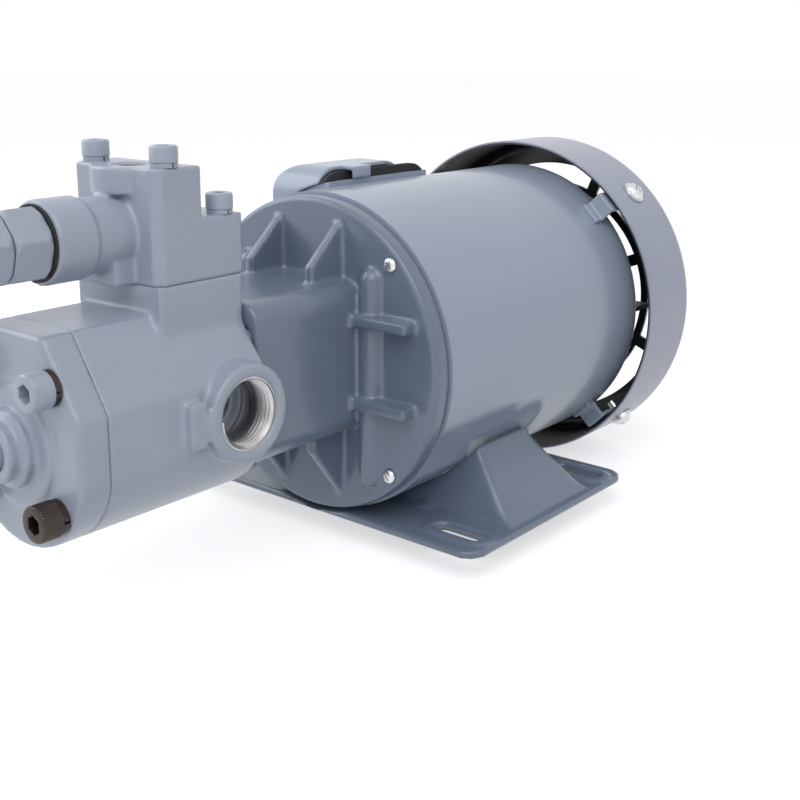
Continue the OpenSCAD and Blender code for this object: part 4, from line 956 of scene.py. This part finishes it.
class PUMP_OT_pressings(bpy.types.Operator):
    """Soften the pressed foot, the lid and the cover's lugs"""
    bl_idname = "pump.pressings"
    bl_label = "Pressings"

    def execute(self, context):
        self.foot()
        self.lid()
        self.lugs()
        return {"FINISHED"}

    def foot(self):
        """The foot plate: its pressed saddles well rounded, and two small bosses beside each front slot."""
        plate_top = 3.2 * MM
        shell_radius = half_width("motor_shell")

        def hump(point):
            reach = math.hypot(point.x, point.z - SHAFT_Z) - shell_radius
            return min((point.z - plate_top - 1 * MM) / (4 * MM), (reach - 1 * MM) / (5 * MM))

        bumps = [bump_tool("foot_boss", (side * x, y, plate_top), (4.5 * MM, 5.5 * MM, 1.6 * MM))
                 for side in (-1, 1) for x, y in FOOT_BOSSES]
        soften("mounting_foot", "mounting_foot_pressing", 0.95 * MM, 6, adds=bumps, melting=(hump, 60))

    def lid(self):
        """The lid, whose far end slopes down behind the gasket."""
        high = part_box("terminal_box_lid")[1]
        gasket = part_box("terminal_box_gasket")
        second_tab = box_tool("tab_cut", (gasket[0].x + 0.2 * MM, 6 * MM, high.z - 12 * MM),
                              (high.x + 1 * MM, 24 * MM, high.z + 1 * MM))
        piece = soften("terminal_box_lid", "terminal_box_lid_pressing", 0.55 * MM, 4, [second_tab])
        slope_start = 12 * MM
        slope_len = 18 * MM
        lid_height = 30 * MM
        for vertex in piece.data.vertices:
            along = min(max((vertex.co.y - slope_start) / slope_len, 0.0), 1.0)
            up = min(max((vertex.co.z - (high.z - lid_height)) / lid_height, 0.0), 1.0)
            vertex.co.z -= LID_SLOPE * along * along * (3 - 2 * along) * up

    def lugs(self):
        """Four bent lugs: a foot on the shell, a web and a tongue under the fan cover."""
        shell_radius = half_width("motor_shell")
        reach = half_width("fan_cover") - 2.6 * MM
        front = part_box("fan_cover")[0].y - 1 * MM
        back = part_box("fan_cover_brackets")[1].y - 1 * MM
        half = 5.5 * MM
        sheet = 2 * MM
        foot = (shell_radius - 0.6 * MM, shell_radius + sheet, front - 7 * MM, front)
        web = (shell_radius, reach, front - sheet, front)
        tongue = (reach - sheet, reach, front - sheet, back)
        tools = []
        for corner in range(4):
            around = Matrix.Rotation(math.radians(45 + 90 * corner), 4, "Y")
            turn = Matrix.Translation((0, 0, SHAFT_Z)) @ around
            for inner, outer, start, end in (foot, web, tongue):
                tools.append(box_tool("lug", (inner, start, -half), (outer, end, half), turn))
        piece = link("fan_cover_lugs", bpy.data.meshes.new("fan_cover_lugs"))
        absorb(piece, tools)
        for tool in tools:
            bpy.data.objects.remove(tool)
        round_edges(piece, 0.5 * MM, 2, material("shell_paint"))
        place_piece(piece, "shell_paint", "fan_cover_brackets")


class PUMP_OT_threads(bpy.types.Operator):
    """Wind the pipe threads in the side ports and in the gauge port"""
    bl_idname = "pump.threads"
    bl_label = "Pipe threads"

    def execute(self, context):
        for name, (mouth, inward) in zip(("suction_thread", "discharge_thread"), port_places()):
            wound_thread(name, mouth + inward * 1.2 * MM, inward, PORT_ROOT, PORT_PITCH, PORT_DEPTH,
                         PORT_LENGTH)
        mouth, inward = gauge_place()
        wound_thread("gauge_thread", mouth + inward * 0.8 * MM, inward, GAUGE_ROOT, GAUGE_PITCH, GAUGE_DEPTH,
                     GAUGE_LENGTH)
        return {"FINISHED"}


class PUMP_OT_screws(bpy.types.Operator):
    """Make the socket screws and the cross-recessed screws"""
    bl_idname = "pump.screws"
    bl_label = "Screws"

    def execute(self, context):
        self.pump_cover_screws()
        self.valve_screws()
        self.bracket_screws()
        self.fan_cover_screws()
        return {"FINISHED"}

    def pump_cover_screws(self):
        """The upper two are painted with the pump, the lower two are bare and knurled."""
        low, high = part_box("cover_screws")
        half = half_width("cover_screws") - 6.5 * MM
        seat = low.y + COVER_SCREW
        forward = Euler((math.pi / 2, 0, 0))
        for name, sz, slot, knurl in (("painted_cover_screws", 1, "pump_paint", 0.0),
                                      ("black_cover_screws", -1, "dark_steel", 0.028)):
            fasteners(name, socket_screw_mesh(name, COVER_SCREW, high.y - seat, knurl), [
                (Vector((sx * half, seat, SHAFT_Z + sz * half)), forward) for sx in (-1, 1)],
                "cover_screws", slot)

    def valve_screws(self):
        """Two screws on top of the valve and two on its lower step."""
        low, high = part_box("valve_screws")
        head_radius = 5 * MM
        half = half_width("valve_screws") - head_radius
        lower_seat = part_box("valve_spring_washers")[0].z + 1.56 * MM
        places = []
        for sx in (-1, 1):
            places.append((Vector((sx * half, low.y + head_radius, high.z - VALVE_SCREW)),
                           Euler((0, 0, 0.3 * sx))))
            places.append((Vector((sx * half, high.y - head_radius, lower_seat)), Euler((0, 0, 0.7))))
        fasteners("valve_socket_screws", socket_screw_mesh("valve_screw", VALVE_SCREW, 25 * MM, 0.008),
                  places, "valve_screws")

    def bracket_screws(self):
        """Small cross-recessed screws through the disc's rim, each turned differently."""
        low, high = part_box("bracket_screws")
        half = half_width("bracket_screws") - PAN_RADIUS * BRACKET_SCREW_DRAWN
        seat = low.y + PAN_HEIGHT * BRACKET_SCREW_DRAWN
        fasteners("bracket_cross_screws", pan_screw_mesh("bracket_screw", BRACKET_SCREW, high.y - seat), [
            (Vector((sx * half, seat, SHAFT_Z + sz * half)), Euler((math.pi / 2, 0.4 * sx + sz, 0)))
            for sx in (-1, 1) for sz in (-1, 1)], "bracket_screws")

    def fan_cover_screws(self):
        """The fan cover's screws point at the shaft."""
        reach = half_width("fan_cover") + 1.25 * MM
        along = mid("fan_cover_screws").y
        places = []
        for corner in range(4):
            angle = math.radians(45 + 90 * corner)
            out = Vector((math.cos(angle), 0, math.sin(angle)))
            places.append((Vector((0, along, SHAFT_Z)) + out * reach,
                           out.to_track_quat("Z", "Y").to_euler()))
        fasteners("fan_cover_cross_screws", pan_screw_mesh("fan_cover_screw", FAN_COVER_SCREW, 10 * MM),
                  places, "fan_cover_screws")


class PUMP_OT_stage(bpy.types.Operator):
    """Set the floor, the soft lamps and the camera"""
    bl_idname = "pump.stage"
    bl_label = "Stage"
    aim = (0, -0.03, 0.08)

    def execute(self, context):
        settings = context.scene.pump_stage
        self.floor(settings)
        self.lamp("key_lamp", (0.55, -0.75, 1.15), 1.3, settings.key_power)
        self.lamp("side_lamp", (-0.9, -0.5, 0.7), 1.0, settings.fill_power)
        self.sky(context, settings)
        self.camera(context)
        return {"FINISHED"}

    def floor(self, settings):
        shape = bmesh.new()
        bmesh.ops.create_grid(shape, x_segments=1, y_segments=1, size=6.0)
        bmesh.ops.translate(shape, verts=shape.verts, vec=(0, 0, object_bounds()[0].z))
        mesh = bpy.data.meshes.new("floor")
        shape.to_mesh(mesh)
        shape.free()
        floor = link("floor", mesh)
        made = bpy.data.materials.new("floor_paper")
        made.use_nodes = True
        tree = made.node_tree
        shader = tree.nodes["Principled BSDF"]
        shader.inputs["Base Color"].default_value = (*settings.floor, 1)
        shader.inputs["Roughness"].default_value = 0.9
        shader.inputs["Specular IOR Level"].default_value = 0.1
        shader.inputs["Emission Color"].default_value = (1, 1, 1, 1)
        strength = node_in(tree, "ShaderNodeMath", operation="MULTIPLY")
        strength.inputs[1].default_value = settings.floor_glow
        tree.links.new(self.seen_rays(tree), strength.inputs[0])
        tree.links.new(strength.outputs[0], shader.inputs["Emission Strength"])
        mesh.materials.append(made)
        floor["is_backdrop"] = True

    def seen_rays(self, tree):
        """1 for the rays that the camera, a mirror or glass sends, else 0."""
        rays = tree.nodes.new("ShaderNodeLightPath")
        seen = rays.outputs["Is Camera Ray"]
        for kind in ("Is Glossy Ray", "Is Transmission Ray"):
            either = node_in(tree, "ShaderNodeMath", operation="MAXIMUM")
            tree.links.new(seen, either.inputs[0])
            tree.links.new(rays.outputs[kind], either.inputs[1])
            seen = either.outputs[0]
        return seen

    def lamp(self, name, place, size, power):
        data = bpy.data.lights.new(name, "AREA")
        data.shape = "DISK"
        data.size = size
        data.energy = power
        made = bpy.data.objects.new(name, data)
        made.location = place
        aim = Vector(self.aim) - Vector(place)
        made.rotation_euler = aim.to_track_quat("-Z", "Y").to_euler()
        bpy.context.scene.collection.objects.link(made)

    def sky(self, context, settings):
        world = bpy.data.worlds.new("studio")
        context.scene.world = world
        world.use_nodes = True
        tree = world.node_tree
        plain = tree.nodes["Background"]
        plain.inputs["Color"].default_value = (0.94, 0.97, 1.0, 1)
        plain.inputs["Strength"].default_value = settings.sky
        seen = node_in(tree, "ShaderNodeBackground")
        seen.inputs["Color"].default_value = (1, 1, 1, 1)
        mix = tree.nodes.new("ShaderNodeMixShader")
        tree.links.new(self.seen_rays(tree), mix.inputs[0])
        tree.links.new(plain.outputs[0], mix.inputs[1])
        tree.links.new(seen.outputs[0], mix.inputs[2])
        tree.links.new(mix.outputs[0], tree.nodes["World Output"].inputs["Surface"])

    def camera(self, context):
        data = bpy.data.cameras.new("camera")
        data.sensor_width = 36
        data.lens = 53.163
        data.shift_x = 0.0375
        data.shift_y = -0.0875
        made = bpy.data.objects.new("camera", data)
        made.location = (0.33840, -0.42024, 0.20195)
        made.rotation_euler = (math.radians(90 - 13.702), 0, math.radians(40.392))
        context.scene.collection.objects.link(made)
        context.scene.camera = made
        context.scene.view_settings.view_transform = "Standard"


class PUMP_PT_panel(bpy.types.Panel):
    """Lists the steps that dress the pump"""
    bl_label = "Coolant pump"
    bl_idname = "PUMP_PT_panel"
    bl_space_type = "VIEW_3D"
    bl_region_type = "UI"
    bl_category = "Pump"

    def draw(self, context):
        for step in STEPS:
            self.layout.operator(step.bl_idname)
        for group in ("pump_paint", "pump_shell", "pump_casting", "pump_stage"):
            settings = getattr(context.scene, group)
            for key in settings.__annotations__:
                self.layout.prop(settings, key)


STEPS = (PUMP_OT_finishes, PUMP_OT_pump_castings, PUMP_OT_valve_castings, PUMP_OT_bracket_casting,
         PUMP_OT_motor_shell, PUMP_OT_pressings, PUMP_OT_threads, PUMP_OT_screws, PUMP_OT_stage)
CLASSES = (PumpPaintSettings, PumpShellSettings, PumpCastingSettings, PumpStageSettings, *STEPS,
           PUMP_PT_panel)


def register():
    for kind in CLASSES:
        bpy.utils.register_class(kind)
    bpy.types.Scene.pump_paint = bpy.props.PointerProperty(type=PumpPaintSettings)
    bpy.types.Scene.pump_shell = bpy.props.PointerProperty(type=PumpShellSettings)
    bpy.types.Scene.pump_casting = bpy.props.PointerProperty(type=PumpCastingSettings)
    bpy.types.Scene.pump_stage = bpy.props.PointerProperty(type=PumpStageSettings)


def unregister():
    del bpy.types.Scene.pump_stage
    del bpy.types.Scene.pump_casting
    del bpy.types.Scene.pump_shell
    del bpy.types.Scene.pump_paint
    for kind in reversed(CLASSES):
        bpy.utils.unregister_class(kind)


def main():
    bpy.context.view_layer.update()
    register()
    for step in STEPS:
        group, action = step.bl_idname.split(".")
        getattr(getattr(bpy.ops, group), action)()


if __name__ == "__main__":
    main()
